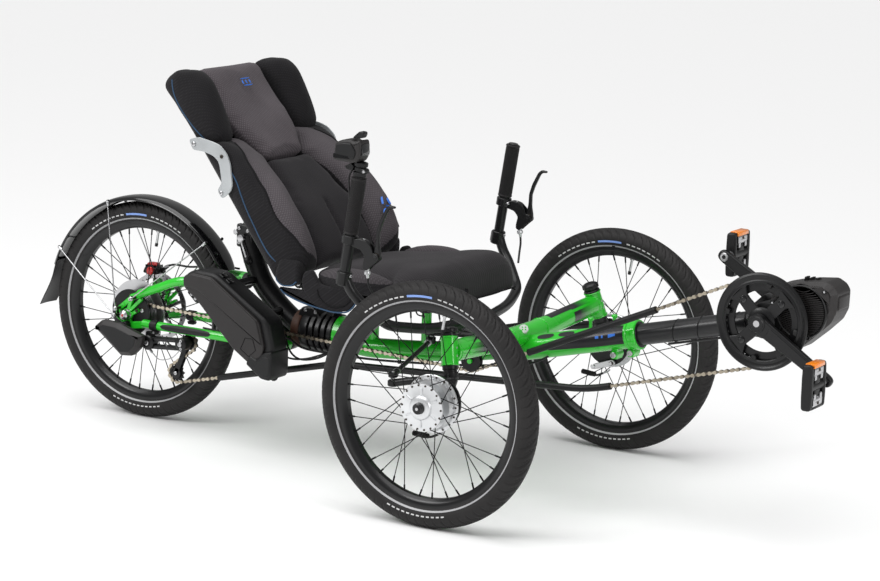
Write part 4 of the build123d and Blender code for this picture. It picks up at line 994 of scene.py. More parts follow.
def make_skirts():
    """Black cloth skirts that hang below the hip pads, each with a piped loop, and the base's piped hem."""
    maker = Maker()
    cloth, piping = MAT["black_cloth"], MAT["piping"]
    for side in (-1, 1):
        skirt = [(-420, 442), (-440, 436), (-447, 414), (-440, 392), (-410, 364), (-362, 357.5), (-322, 366),
                 (-303, 392), (-299, 408), (-400, 412)]
        maker.slab(skirt, *span(side, 184, 196.5), cloth, 8, 4.5, 3)
        lobe = [(-505, 395), (-493, 383), (-454, 368), (-404, 362), (-428, 396)]
        maker.slab(lobe, *span(side, 185, 195.5), cloth, 4, 4, 3)
        edge = [(-498, 391), (-486, 382), (-452, 371), (-414, 364), (-390, 361), (-362, 358.5), (-330, 363),
                (-312, 378), (-302, 398)]
        maker.tube(smooth_path([mm(x, side * 196, z) for x, z in edge], 6), 0.0017, piping, 8)
        loop = [(-404, 402), (-398, 386), (-380, 373), (-360, 370), (-338, 375), (-322, 388), (-318, 402)]
        maker.tube(smooth_path([mm(x, side * 197.2, z) for x, z in loop], 6), 0.0014, MAT["seam"], 8)
        hem = [mm(x, side * y, z) for x, y, z in ((-300, 154, 402), (-230, 186, 402), (-172, 192, 399),
                                                  (-158, 191, 380), (-142, 186, 377))]
        maker.tube(smooth_path(hem, 6), 0.0016, MAT["seam"], 8)
    hem = [mm(-138.4, y, 384) for y in (-180, -120, -40, 40, 120, 180)]
    maker.tube(smooth_path(hem, 4), 0.0017, MAT["seam"], 8)
    for y in (-60, 60):
        places = (-440, -380, -320, -260, -200, -160)
        seam = [mm(x, y * (1 + 0.12 * k), track(SEAT_TOP, x) - 1.4) for k, x in enumerate(places)]
        maker.tube(smooth_path(seam, 5), 0.0016, MAT["seam"], 8)
    return maker.build("seat_skirts", "frame", sharp=50)


def make_bolster_tails():
    """Black cloth ends of the side pads, closing them over the recline pivot."""
    maker = Maker()
    for side in (-1, 1):
        maker.slab([(-512, 424), (-509, 408), (-490, 397), (-466, 400), (-451, 411), (-448, 430),
                    (-448, 456), (-500, 462)], *span(side, 172, 203), MAT["black_cloth"], 12, 9, 5)
        edge = [mm(x, side * 201, z) for x, z in ((-508, 418), (-504, 409), (-489, 401), (-467, 404),
                                                  (-455, 413))]
        maker.tube(smooth_path(edge, 6), 0.0015, MAT["piping"], 8)
    return maker.build("bolster_tails", "backrest", sharp=50)


def surface_patch(name, spots, lift, body):
    """Plain stitched bars laid over a pad, each (y, t, n, length, width, turn in degrees)."""
    maker = Maker()
    for y, t, n, length, width, turn in spots:
        a = radians(turn)
        along = Vector((cos(a), sin(a)))
        cross = Vector((-along.y, along.x))
        rows = []
        for k in range(9):
            u = length * (k / 8 - 0.5)
            taper = sqrt(max(0.05, 1 - abs(2 * k / 8 - 1) ** 3))
            row = []
            for v in range(5):
                w = width * taper * (v / 4 - 0.5)
                row.append(back_point(n + lift * cos(pi * (v / 4 - 0.5)), y + along.x * u + cross.x * w,
                                      t + along.y * u + cross.y * w))
            rows.append(row)
        maker.grid(rows, MAT["mark_blue"], wrap_columns=False)
    return maker.build(name, body, sharp=70)


def make_hip_bolster(name, side):
    """The small raised pad at one hip, grey on top and black below."""
    rings = []
    for k in range(22):
        x = -420 + (-232 + 420) * k / 21
        u = k / 21
        crown = sin(pi * min(1, max(0, 0.04 + 0.92 * u))) ** 0.55
        top = 424 + 29 * crown
        base = 401 + 3 * (1 - crown)
        inner, outer = 158, 163 + 34 * crown
        front = [(base, inner), (top - 8, inner + 1), (top, (inner + outer) / 2 - 2), (top - 5, outer - 6),
                 (top - 17, outer), (base + 8, outer), (base, outer - 5)]
        line = smooth_path([Vector((z, y, 0)) for z, y in front], 4)
        rings.append([mm(x, side * p.y, p.x) for p in line] + [mm(x, side * (inner + outer) / 2, base)])
    pad = pad_from_rings(f"hip_bolster_{name}", rings, "frame",
                         [MAT["hip_cloth"], MAT["black_cloth"]], cap=0.005, voxel=0.005)
    mark_faces(pad, lambda point: 1 if point.z < 0.430 else 0)
    return pad


def make_seat():
    """Every pad, panel and skirt of the seat, and its plain blue marks."""
    make_head_panel()
    make_lumbar_panel()
    for name, side in SIDES.items():
        make_side_bolster(name, side)
        make_wing(name, side)
        make_hip_bolster(name, side)
    make_back_trim()
    make_seat_base()
    make_skirts()
    make_bolster_tails()
    surface_patch("head_marks", [(-2 + 13 * k, 459, 7.2, 9, 4.5, 90) for k in (-1, 0, 1)]
                  + [(-2, 467.5, 7.0, 34, 3.2, 0), (-2, 450.5, 7.4, 34, 3.2, 0)], 1.6, "backrest")
    surface_patch("side_marks", [(150, 96, 66, 20, 5, 60), (160, 78, 69, 26, 5, -20),
                                 (143, 72, 63, 18, 5, 40), (166, 90, 70, 16, 5, 90)], 4.0, "backrest")


# ---------------------------------------------------------------- battery
def make_battery():
    """Long case: rounded black shell, dark outer panel with a crease, separate end cap, indicator pads."""
    maker = Maker()
    shell, panel = MAT["black_plastic"], MAT["dark_plastic"]
    maker.slab([(-786, 352), (-788, 380), (-762, 394), (-704, 392), (-562, 304), (-546, 246), (-549, 224),
                (-590, 222), (-649, 236), (-752, 331)], -150, -92.5, shell, 14, 9, 4)
    maker.slab([(-784, 354), (-785, 378), (-764, 388), (-708, 384), (-582, 302), (-567, 246), (-572, 226),
                (-606, 206), (-649, 233), (-750, 331)], -157.5, -146, panel, 9, 3, 3)
    maker.slab([(-782, 356), (-783, 376), (-764, 386), (-709, 382), (-586, 302), (-571, 250), (-744, 352)],
               -160, -154, panel, 5, 2.5, 3)
    maker.slab([(-545, 240), (-545, 186), (-551, 175), (-573, 177), (-613, 205), (-603, 226), (-585, 218),
                (-566, 236)], -160, -92, shell, 5, 4, 3)
    maker.slab([(-549, 226), (-549, 192), (-556, 182), (-572, 184), (-594, 200), (-584, 212), (-566, 228)],
               -161, -150, shell, 5, 1.5, 2)
    loop = [mm(-560 + 9 * cos(a), -128, 181 + 9 * sin(a)) for a in [pi * (1 + k / 10) for k in range(11)]]
    maker.tube(loop, 0.0032, shell, 10)
    pentagon = [(-628, 236), (-606, 222), (-588, 238), (-596, 262), (-616, 262), (-628, 236)]
    maker.tube([mm(x, -157.9, z) for x, z in pentagon], 0.0006, MAT["seam"], 6)
    for k in range(2):
        base = Vector((-700 + 17 * k, 389 - 10.8 * k))
        along, out = Vector((0.845, -0.535)), Vector((0.535, 0.845))
        pad = [base, base + out * 4.4, base + out * 4.4 + along * 12, base + along * 12]
        maker.slab([tuple(p) for p in pad], -141, -124, MAT["gloss_black"], 1.5, 0.8)
    maker.slab([(-782, 340), (-757, 318), (-747, 332), (-772, 356)], -146, -112, shell, 4, 2)
    for x, z in ((-768, 338), (-758, 329)):
        maker.bolt(mm(x, -146.5, z), (0, -1, 0), 3.4, MAT["steel"])
    maker.slab([(-640, 330), (-600, 305), (-596, 311), (-636, 336)], -148, -100, MAT["seam"], 1, 0.5)
    for x, z in ((-690, 362), (-620, 300)):
        maker.rod(mm(x, -92.4, z), mm(x, -86, z), 11, shell)
    return maker.build("battery_pack", "frame", ["battery_case"], sharp=32)


# ---------------------------------------------------------------- motor, cranks and pedals
MOTOR_OUTLINE = [(560, 400), (598, 383), (624, 385), (664, 420), (692, 448), (702, 470), (703, 507),
                 (695, 519), (678, 528), (640, 524), (600, 516), (572, 508), (560, 478)]


def make_motor():
    """Motor housing with a round ribbed face on the right, a raised bead, screws and ridges on top."""
    maker = Maker()
    body, dark = MAT["dark_plastic"], MAT["black_plastic"]
    x, z = CRANK
    maker.slab(MOTOR_OUTLINE, -40, 44, body, 5, 11, 1)
    maker.turned([(9.3, -13), (36, -13), (37, -11.5), (37, 40), (35, 44.5), (20, 46), (9.3, 46)],
                 mm(x, -0.5, z), (0, -1, 0), dark)
    maker.turned([(9.3, 14), (36, 14), (36, 42), (34, 44), (9.3, 44)], mm(x, 0, z), (0, 1, 0), dark)
    maker.turned([(0, 41.2), (49.5, 41.2), (50, 44.5), (52, 46.2), (54, 44.5), (54.5, 38)],
                 beside(MOTOR_CENTRE), (0, -1, 0), dark, 72)
    maker.turned([(0, 49), (34, 49), (38, 51.5), (45, 51), (48, 43)], beside(MOTOR_CENTRE), (0, 1, 0), dark,
                 72)
    for index in range(-12, 13):
        offset = index * 3.8
        half = sqrt(max(0.0, 48.5 ** 2 - offset ** 2))
        if half < 8:
            continue
        rows = []
        for k in range(13):
            t = 2 * k / 12 - 1
            fin_x, fin_z = MOTOR_CENTRE[0] + half * t, MOTOR_CENTRE[1] + offset - 5 * (1 - t * t)
            rows.append([mm(fin_x, -41, fin_z - 0.9), mm(fin_x, -46.3, fin_z - 0.6),
                         mm(fin_x, -46.3, fin_z + 0.6), mm(fin_x, -41, fin_z + 0.9)])
        maker.capped(rows, body)
    maker.slab([(570, 494), (598, 508), (640, 518), (672, 520), (690, 506), (692, 486), (684, 488),
                (664, 508), (630, 520), (600, 506), (580, 484)], -44.5, -38, body, 4, 2, 2)
    for bx, bz in ((681, 511), (584, 500), (586, 398), (652, 416), (572, 476)):
        maker.bolt(mm(bx, -44.8, bz), (0, -1, 0), 4.6, dark, 2.6)
        maker.bolt(mm(bx, -45.4, bz), (0, -1, 0), 2.6, MAT["steel"], 1.4)
    for bx in (622, 634, 646):
        maker.slab([(bx - 4, 519), (bx - 3, 527.5), (bx + 3, 528.5), (bx + 4, 519)], -2, 12, dark, 1, 1)
    maker.slab([(705, 474), (705, 500), (698, 506), (696, 470)], -24, 28, body, 3, 2)
    return maker.build("drive_motor", "boom", ["motor_housing"], sharp=28)


def make_chainguard():
    """Guard ring with four openings, lugs inside the rim, four spider arms and their bolts."""
    maker = Maker()
    paint = MAT["black_paint"]
    x, z = CRANK
    centre = mm(x, 0, z)
    ring = [(98.4, 58.0), (98.8, 60.0), (97.6, 62.6), (94.5, 64.0), (92.0, 63.4), (90.5, 62.2), (84.5, 61.6),
            (82.5, 62.8), (79.5, 63.2), (77.6, 62.0), (77.2, 58.2), (80.0, 57.2), (95.0, 57.2)]
    maker.lathe([(r / 1000, h / 1000) for r, h in ring], centre, (0, -1, 0), paint, 120, closed=True)
    maker.turned([(9.4, 57.2), (27, 57.2), (29, 59), (29, 63), (26, 65), (19, 66.5), (9.4, 67)], centre,
                 (0, -1, 0), paint)
    for k in range(4):
        a = radians(45 + 90 * k)
        points = [(20, -0.75), (38, -0.36), (60, -0.2), (80, -0.3), (80, 0.3), (60, 0.2), (38, 0.36),
                  (20, 0.75)]
        outline = [(x + r * cos(a + t), z + r * sin(a + t)) for r, t in points]
        maker.slab(outline, -62.5, -57.5, paint, 5, 1.4)
        spot = mm(x + 58 * cos(a), -62.5, z + 58 * sin(a))
        maker.turned([(0, 2.0), (5.0, 2.2), (7.0, 1.4), (7.4, 0)], spot, (0, -1, 0), MAT["gloss_black"], 24)
        maker.bolt(spot + Vector((0, -0.002, 0)), (0, -1, 0), 4.0, MAT["boom_black"], 1.4)
        b = a + radians(38)
        corners = ((79, -0.13), (70, -0.11), (70, 0.02), (79, 0.04))
        tab = [(x + r * cos(b + t), z + r * sin(b + t)) for r, t in corners]
        maker.slab(tab, -64, -57.5, paint, 1.5, 1)
    return maker.build("guard_ring", "crank", ["chainguard"], sharp=34)


def make_crank_arms():
    """Both crank arms, their bolts, the spindle and the pedal axles."""
    maker = Maker()
    paint, steel = MAT["black_paint"], MAT["steel"]
    x, z = CRANK
    maker.rod(mm(x, -86, z), mm(x, 86, z), 9, steel, 32)
    for side in (-1, 1):
        ex, ez = crank_end(side)
        along = Vector((ex - x, ez - z)).normalized()
        across = Vector((-along.y, along.x))
        start, end = Vector((x, z)), Vector((ex, ez))

        def spot(share, width):
            return tuple(start.lerp(end, share) + across * width)
        half = [(-0.09, 9), (-0.02, 17.5), (0.14, 16.5), (0.8, 13), (1.03, 12.5), (1.085, 7)]
        outline = [spot(*corner) for corner in half] + [spot(share, -width) for share, width in half[::-1]]
        maker.slab(outline, *span(side, 70, 84), paint, 9, 3.6, 3)
        crown = [spot(0.16, 10.5), spot(0.86, 7.5), spot(0.86, -6.5), spot(0.16, -10.5)]
        maker.slab(crown, *span(side, 83, 85.2), paint, 4, 1.1)
        maker.turned([(0, 83), (6, 83), (6.6, 86.0), (13.5, 86.2), (14.5, 85), (17.5, 85), (18.5, 83),
                      (18.5, 72)], mm(x, 0, z), (0, side, 0), paint, 40)
        maker.turned([(0, 85.4), (3.2, 85.4), (3.6, 84), (6.2, 84.4)], mm(x, 0, z), (0, side, 0),
                     MAT["boom_black"], 24)
        maker.turned([(0, 70.4), (4.0, 70.4), (4.4, 68.6), (7.6, 68.2), (9.0, 69.2), (9.4, 71)],
                     mm(ex, 0, ez), (0, side, 0), steel, 28)
        maker.rod(mm(ex, side * 84, ez), mm(ex, side * 95, ez), 7, steel, 24)
        maker.rod(mm(ex, side * 94, ez), mm(ex, side * 164, ez), 4, steel, 16)
        maker.turned([(4, 95), (9, 95), (9, 97.5), (4, 97.5)], mm(ex, 0, ez), (0, side, 0), steel, 24)
    return maker.build("crank_pair", "crank", ["crank_arms"], sharp=36)


def make_pedal(name, side):
    """Clip pedal: rounded black cage, silver clip jaws on both faces, orange reflectors at its top edge."""
    maker = Maker()
    black, steel = MAT["black_plastic"], MAT["steel"]
    ex, ez = crank_end(side)

    cage = [(ex - 10, ez - 45.5), (ex + 10, ez - 45.5), (ex + 11, ez - 20), (ex + 11, ez + 20),
            (ex + 10, ez + 45.5), (ex - 10, ez + 45.5), (ex - 11, ez + 20), (ex - 11, ez - 20)]
    maker.slab(cage, *span(side, 158, 170), black, 7, 4, 3)
    maker.slab(cage, *span(side, 98, 108), black, 7, 4, 3)
    for z_low, z_high in ((38, 45), (-45, -38)):
        maker.slab([(ex - 9.5, ez + z_low), (ex + 9, ez + z_low), (ex + 9, ez + z_high),
                    (ex - 9.5, ez + z_high)], *span(side, 106, 160), black, 3, 1.5)
    for reach in (-1, 1):
        arm = [(ex - 9, ez + reach * 4), (ex + 9, ez + reach * 4), (ex + 6, ez + reach * 40),
               (ex - 6, ez + reach * 40)]
        maker.slab(arm, *span(side, 122, 146), black, 4, 2)
    maker.rod(mm(ex, side * 100, ez), mm(ex, side * 164, ez), 10.5, black, 28, 2)
    maker.turned([(4.5, 97.6), (8.5, 97.6), (8.5, 100), (4.5, 100)], mm(ex, 0, ez), (0, side, 0), steel, 24)
    for face in (-1, 1):
        for reach in (-1, 1):
            jaw = [(ex + face * 5, ez + reach * 18), (ex + face * 10.8, ez + reach * 24),
                   (ex + face * 10.8, ez + reach * 36), (ex + face * 7, ez + reach * 41),
                   (ex + face * 4, ez + reach * 37)]
            maker.slab(jaw, *span(side, 114, 154), steel, 2, 1)
            for y in (120, 148):
                tooth = [(ex + face * 8, ez + reach * 13), (ex + face * 10.9, ez + reach * 14),
                         (ex + face * 10.9, ez + reach * 25), (ex + face * 7, ez + reach * 25)]
                maker.slab(tooth, *span(side, y - 4, y + 4), steel, 1.5, 0.8)
            for k in range(6):
                y = 126 + 3.2 * k
                maker.tube([mm(ex + face * 7.4 + 3.0 * cos(a), side * (y + 0.5 * a), ez + reach * 30
                               + 3.0 * sin(a)) for a in turns(10, closed=True)], 0.0009, MAT["chain_dark"],
                           6, caps=False)
            maker.bolt(mm(ex + face * 10.6, side * 134, ez + reach * 33), (face, 0, 0), 3, MAT["chain_dark"],
                       1.6)
    maker.slab([(ex - 8, ez + 43.5), (ex + 10.5, ez + 43), (ex + 10.5, ez + 46.6), (ex - 8, ez + 47)],
               *span(side, 110, 160), MAT["orange"], 1.5, 0.8)
    maker.slab([(ex + 8, ez + 38), (ex + 11.4, ez + 38), (ex + 11.4, ez + 45), (ex + 8, ez + 45)],
               *span(side, 110, 158), MAT["orange"], 1, 0.6)
    return maker.build(f"clip_pedal_{name}", f"pedal_{name}", [f"pedal_{name}"], sharp=34)


# ---------------------------------------------------------------- mudguard
def guard_point(angle, radius, y):
    """A place round the rear axle, the angle in degrees from level ahead."""
    a = radians(angle)
    return mm(REAR_AXLE[0] + radius * cos(a), y, REAR_AXLE[1] + radius * sin(a))


def make_mudguard():
    """A rolled mudguard with a flared flap at its tail, two screws and the stay mounts."""
    maker = Maker()
    gloss = MAT["gloss_black"]
    outer = [(30.6, 254.2), (31, 255.8), (29, 259.5), (24, 262.2), (16, 264.0), (8, 264.7), (0, 264.9)]
    section = [(-y, r) for y, r in outer] + [(y, r) for y, r in outer[-2::-1]]
    section += [(y, r) for y, r in ((29.4, 254.2), (27.6, 257.6), (22, 260.0), (12, 262.0), (0, 262.7),
                                    (-12, 262.0), (-22, 260.0), (-27.6, 257.6), (-29.4, 254.2))]
    rows = []
    for k in range(91):
        angle = 27 + 135 * k / 90
        taper = min(1.0, 0.72 + 0.28 * sqrt(min(1.0, k / 5)))
        rows.append([guard_point(angle, r, y * taper) for y, r in section])
    maker.capped(rows, gloss, flip=True)
    rows = []
    for k in range(19):
        u = k / 18
        spread = 28.0 + 3.0 * u - 2.4 * max(0, u - 0.85) * 6
        line = guard_point(160 + 24 * u, 260.5 + 60 * max(0.0, u - 0.28) ** 1.8, 0)
        face = [line + Vector((0.0036 * (1 - cos(pi * (j / 8 - 0.5))), spread * (j / 4 - 1) / 1000, 0))
                for j in range(9)]
        back = [line + Vector((0.0026 + 0.0036 * (1 - cos(pi * (j / 8 - 0.5))), spread * (1 - j / 4) / 1000,
                               0)) for j in range(9)]
        rows.append(face + back)
    maker.capped(rows, MAT["black_plastic"], flip=True)
    for y in (-12, 12):
        maker.bolt(guard_point(158, 264.6, y), around(radians(158)), 3.6, MAT["steel"], 1.8)
    for angle in (44, 110, 152):
        for side in (-1, 1):
            out = around(radians(angle))
            spot = guard_point(angle, 258, side * 30.4)
            maker.rod(spot - out * 0.006, spot + out * 0.006, 3.2, MAT["black_plastic"], 14)
    return maker.build("rear_mudguard", "swingarm", ["mudguard"], sharp=38)


def make_stays():
    """Bent wire stays with small clips where they meet the mudguard, one screw at each foot."""
    maker = Maker()
    for side in (-1, 1):
        for angle, foot_x, foot_z in ((110, -1022, 264), (152, -1026, 248), (44, -978, 292)):
            foot = mm(foot_x, side * 93, foot_z)
            top = guard_point(angle, 259, side * 32.5)
            out = around(radians(angle))
            near = foot.lerp(top, 0.12)
            ring = [foot + around(a, 0.0042) for a in turns(14, closed=True)]
            maker.tube(ring, 0.0016, MAT["steel"], 8, caps=False)
            maker.tube(smooth_path([foot + (near - foot).normalized() * 0.004, near, foot.lerp(top, 0.9),
                                    top - out * 0.004, top + out * 0.003], 4), 0.0015, MAT["steel"], 10)
            maker.rod(mm(foot_x, side * 74.4, foot_z), mm(foot_x, side * 91, foot_z), 3.4, MAT["chain_dark"],
                      16)
            maker.bolt(mm(foot_x, side * 94.6, foot_z), (0, side, 0), 4.4, MAT["steel"], 3)
            maker.rod(top - out * 0.009, top + out * 0.002, 3.4, MAT["alloy"], 14)
            maker.rod(top - Vector((0, side * 0.006, 0)), top + Vector((0, side * 0.004, 0)), 2.2,
                      MAT["steel"], 12)
    return maker.build("wire_stays", "swingarm", ["mudguard_stays"], sharp=40)


# ---------------------------------------------------------------- chain
PITCH = 12.7
CHAIN_Y = -52
# Each circle that the chain runs round, or bends along, as (x, z, radius, which way it is passed).
CHAIN_CIRCLES = [(*CRANK, 88.94, 1), (105, 640, 400, 1), (-385, -187, 400, -1), (*LOWER_JOCKEY, 22.23, 1),
                 (*UPPER_JOCKEY, 22.23, -1), (*REAR_AXLE, 26.28, 1), (-106, 265, 22.23, -1)]


def chain_path(steps_per_arc=24):
    """Closed line of (x, z) through the tangent runs and arcs of the chain's circles."""
    count, runs = len(CHAIN_CIRCLES), []
    for i in range(count):
        x1, z1, r1, s1 = CHAIN_CIRCLES[i]
        x2, z2, r2, s2 = CHAIN_CIRCLES[(i + 1) % count]
        length = hypot(x2 - x1, z2 - z1)
        angle = atan2(z2 - z1, x2 - x1) - asin((s1 * r1 - s2 * r2) / length)
        nx, nz = -sin(angle), cos(angle)
        runs.append(((x1 + s1 * r1 * nx, z1 + s1 * r1 * nz), (x2 + s2 * r2 * nx, z2 + s2 * r2 * nz)))
    points = []
    for i, (x, z, r, s) in enumerate(CHAIN_CIRCLES):
        start, end = runs[i - 1][1], runs[i][0]
        begin = atan2(start[1] - z, start[0] - x)
        turn = (begin - atan2(end[1] - z, end[0] - x)) * s % (2 * pi)
        points += [(x + r * cos(begin - s * turn * k / steps_per_arc),
                    z + r * sin(begin - s * turn * k / steps_per_arc)) for k in range(steps_per_arc)]
        points.append(end)
    return points


def make_chain():
    """Pins at an even pitch along the closed path, each pair joined by outer or inner side plates."""
    points = [Vector(p) for p in chain_path()]
    points.append(points[0])
    lengths = [0.0]
    for a, b in zip(points, points[1:]):
        lengths.append(lengths[-1] + (b - a).length)
    links = round(lengths[-1] / PITCH / 2) * 2
    pins, j = [], 0
    for k in range(links):
        at = lengths[-1] * k / links
        while lengths[j + 1] < at:
            j += 1
        share = (at - lengths[j]) / max(1e-9, lengths[j + 1] - lengths[j])
        pins.append(points[j].lerp(points[j + 1], share))
    maker = Maker()
    plate, dark = MAT["chain"], MAT["chain_dark"]
    for k in range(links):
        a, b = pins[k], pins[(k + 1) % links]
        along = (b - a).normalized()
        across = Vector((-along.y, along.x))
        length = (b - a).length

        def at(u, v):
            return a + along * u + across * v
        lower = [(-3.4, -2.0), (-2.0, -3.6), (1.4, -3.7), (length / 2, -1.4), (length - 1.4, -3.7),
                 (length + 2.0, -3.6), (length + 3.4, -2.0)]
        outline = lower + [(u, -v) for u, v in lower[::-1]]
        for side in (-1, 1):
            near, far = ((2.35, 3.15) if k % 2 else (1.45, 2.25))
            tone = plate if k % 2 else MAT["chain_inner"]
            rows = [[mm(at(u, v).x, CHAIN_Y + side * y, at(u, v).y) for u, v in outline] for y in (near, far)]
            maker.grid(rows, tone)
            for row in rows:
                maker.add(row, [tuple(range(14))], tone)
        maker.tube([mm(a.x, -54.6, a.y), mm(a.x, -49.4, a.y)], 0.0030, dark, 8, caps=False)
        maker.tube([mm(a.x, -55.4, a.y), mm(a.x, -48.6, a.y)], 0.0017, plate, 6)
    return maker.build("drive_chain", "frame", ["chain"], sharp=25)


# ---------------------------------------------------------------- handlebar
BAR_LOW, BAR_HIGH = Vector((-264, 450)), Vector((-230, 676))


def bar_spot(side, share, ahead=0.0, y=BAR_Y):
    """A point on an upright, share 0 at its clamp and 1 at its end, ahead in millimetres before its line."""
    along = (BAR_HIGH - BAR_LOW).normalized()
    p = BAR_LOW.lerp(BAR_HIGH, share) + Vector((along.y, -along.x)) * ahead
    return mm(p.x, side * y, p.y)


def link_axis(side):
    """The axis of a steering link's inner joint."""
    return Vector((0.102477, side * 0.012945, 0.994652))


def make_handlebar():
    """Two uprights clamped to a low cross bar that turns on the frame, with the steering levers under it."""
    maker = Maker()
    paint, steel = MAT["black_paint"], MAT["steel"]
    half = [(-259, 312, 463), (-246, 308, 436), (-226, 300, 412), (-202, 282, 386), (-182, 262, 366),
            (-164, 220, 356), (-146, 160, 347), (-128, 80, 345), (-115, 0, 345)]
    line = smooth_path([mm(x, -y, z) for x, y, z in half] + [mm(x, y, z) for x, y, z in half[-2::-1]], 8)
    maker.tube(line, 0.011, paint, 24)
    maker.rod(mm(STEER_POST_X, 0, 305), mm(STEER_POST_X, 0, 361), 19, paint, 40, 1.5)
    maker.rod(mm(STEER_POST_X, 0, 326), mm(STEER_POST_X, 0, 332), 20.2, MAT["boom_black"], 40, 1)
    for y in (-12, 12):
        maker.slab([(-142, 332), (-96, 332), (-94, 358), (-142, 358)], y - 4, y + 4, paint, 6, 1.5)
        maker.bolt(mm(-95, y, 345), (1, 0, 0), 4, steel, 2.4)
    for side in (-1, 1):
        lever_end = Vector((STEER_LEVER_END[0], side * STEER_LEVER_END[1]))
        along = (lever_end - Vector((STEER_POST_X, 0))).normalized()
        turn = Matrix(((along.x, -along.y, 0, 0), (along.y, along.x, 0, 0), (0, 0, 1, 0), (0, 0, 0, 1)))
        rows = []
        for z, inset in ((305.0, 1.0), (306.0, 0), (310.5, 0), (311.5, 1.0)):
            ring = []
            for a in turns(40):
                reach = (106.9 if cos(a) > 0 else 0.0) + (11 - inset) * cos(a)
                ring.append(turn @ Vector((reach, (11 - inset) * sin(a), 0)) + Vector((STEER_POST_X, 0, z)))
            rows.append([mm(*p) for p in ring])
        maker.capped(rows, paint)
        pin = link_axis(side)
        base = mm(STEER_LEVER_END[0], side * STEER_LEVER_END[1], 294)
        maker.rod(base - pin * 0.009, base + pin * 0.0185, 4, steel, 16)
        maker.turned([(0, 3.6), (3.2, 3.6), (4.6, 3.0), (6.6, 3.0), (7.0, 2.4), (7.0, 0)],
                     mm(-210.4, side * 45.2, 311.4), pin, steel, 6)
        maker.rod(bar_spot(side, -0.012), bar_spot(side, 1.0), 11, paint, 28)
        maker.rod(bar_spot(side, -0.01), bar_spot(side, 0.115), 15.5, paint, 32, 1.5)
        for share in (0.03, 0.085):
            maker.slab([(-4, 0), (4, 0), (4, 9), (-4, 9)], -0.1, 0.1, paint, 1, 0.02,
                       matrix=Matrix.Translation(bar_spot(side, share, 12)))
            maker.bolt(bar_spot(side, share, 14), (1, 0, 0.1), 3.6, steel, 3)
        maker.rod(bar_spot(side, 0.0, -14), bar_spot(side, 0.10, -14), 4.5, MAT["boom_black"], 16)
    return maker.build("steering_bar", "handlebar", ["handlebar"], sharp=40)


def make_grips():
    """Ribbed rubber grips with a raised collar at each end."""
    maker = Maker()
    rubber = MAT["grip"]
    for side in (-1, 1):
        base, tip = bar_spot(side, 0.47), bar_spot(side, 0.985)
        along = (tip - base).normalized()
        length = (tip - base).length * 1000
        profile = [(11.4, 0.2), (15.0, 0.0), (15.8, 1.2), (15.8, 3.2), (14.9, 4.0)]
        h = 5.0
        while h < length - 6:
            profile += [(14.7, h), (15.35, h + 0.35), (15.35, h + 1.15), (14.7, h + 1.5)]
            h += 2.1
        profile += [(14.9, length - 4), (15.8, length - 3.2), (15.8, length - 1.0), (14.6, length),
                    (0, length + 0.2)]
        maker.turned(profile, base, along, rubber, 48)
    return maker.build("handgrips", "handlebar", ["grips"], sharp=50)


def make_perches():
    """Brake perches: split clamp with screw, curved black body, silver barrel adjuster."""
    maker = Maker()
    paint, steel, alloy = MAT["black_paint"], MAT["steel"], MAT["alloy"]
    x, z = LEVER_PIVOT
    for side in (-1, 1):
        maker.rod(bar_spot(side, 0.378), bar_spot(side, 0.455), 16.6, paint, 40, 1.2)
        maker.bolt(bar_spot(side, 0.417, 17, 303), (1, 0, 0.15), 4.2, steel, 3)
        low, high = span(side, 304.3, 319.7)
        body = [(-246, 537), (-238, 546), (-224, 549), (-207, 546), (-193, 534), (x - 7, z + 6),
                (x + 5, z + 6), (x + 8, z - 6), (x - 3, z - 15), (-196, 492), (-204, 484), (-214, 487),
                (-213, 500), (-209, 514), (-219, 526), (-239, 531)]
        for a, b in ((low, low + 3.0), (high - 3.0, high)):
            maker.slab(body, a, b, paint, 5, 1.2, 2)
        core = [(-246, 537), (-238, 546), (-224, 549), (-207, 546), (-200, 538), (-204, 520), (-203, 500),
                (-204, 485), (-214, 487), (-213, 500), (-209, 514), (-219, 526), (-239, 531)]
        maker.slab(core, low + 2, high - 2, paint, 5, 1.0, 2)
        for way in (-1, 1):
            maker.turned([(0, 9.0), (2.4, 9.0), (2.7, 8.2), (4.4, 8.4), (5, 7.6), (5, 6.6)],
                         mm(x, side * BAR_Y, z), (0, way, 0), MAT["boom_black"], 24)
        barrel = [(2.5, 0), (4.8, 0), (5.3, 1), (5.3, 3), (4.6, 3.4), (4.6, 5.6), (6.4, 6.4), (6.8, 8),
                  (6.8, 12), (6.0, 13), (4.2, 13.6), (3.6, 16), (2.5, 16)]
        maker.turned(barrel, mm(-207.2, side * BAR_Y, 489), (0.13, 0, -1), alloy, 20)
        maker.turned([(3.2, -1), (3.2, 2.2), (2.2, 3)], mm(-216, side * BAR_Y, 546), (0.1, 0, 1), steel, 16)
    return maker.build("lever_perches", "handlebar", ["brake_perches"], sharp=38)


def make_brake_lever(name, side):
    """A slim curved blade with a hooked tip."""
    maker = Maker()
    x, z = LEVER_PIVOT
    paint = MAT["black_paint"]
    blade = [(x - 8, z - 5), (x - 3, z - 10), (x + 7, z - 7), (x + 9, z + 4), (x + 5, z + 24),
             (x + 5, z + 50), (x + 12, z + 70), (x + 25, z + 97), (x + 31, z + 102), (x + 40, z + 102),
             (x + 41, z + 105), (x + 39, z + 107), (x + 27, z + 108), (x + 19, z + 101), (x + 5, z + 74),
             (x - 2, z + 52), (x - 3, z + 26), (x - 7, z + 12)]
    maker.slab(blade, *span(side, 308.2, 315.8), paint, 4, 2.2, 3)
    maker.turned([(3.2, -4.0), (7.5, -4.0), (7.5, 4.0), (3.2, 4.0)], mm(x, side * BAR_Y, z), (0, 1, 0),
                 MAT["chain_dark"], 24)
    return maker.build(f"lever_blade_{name}", f"brake_lever_{name}", [f"brake_lever_{name}"],
                       sharp=38)


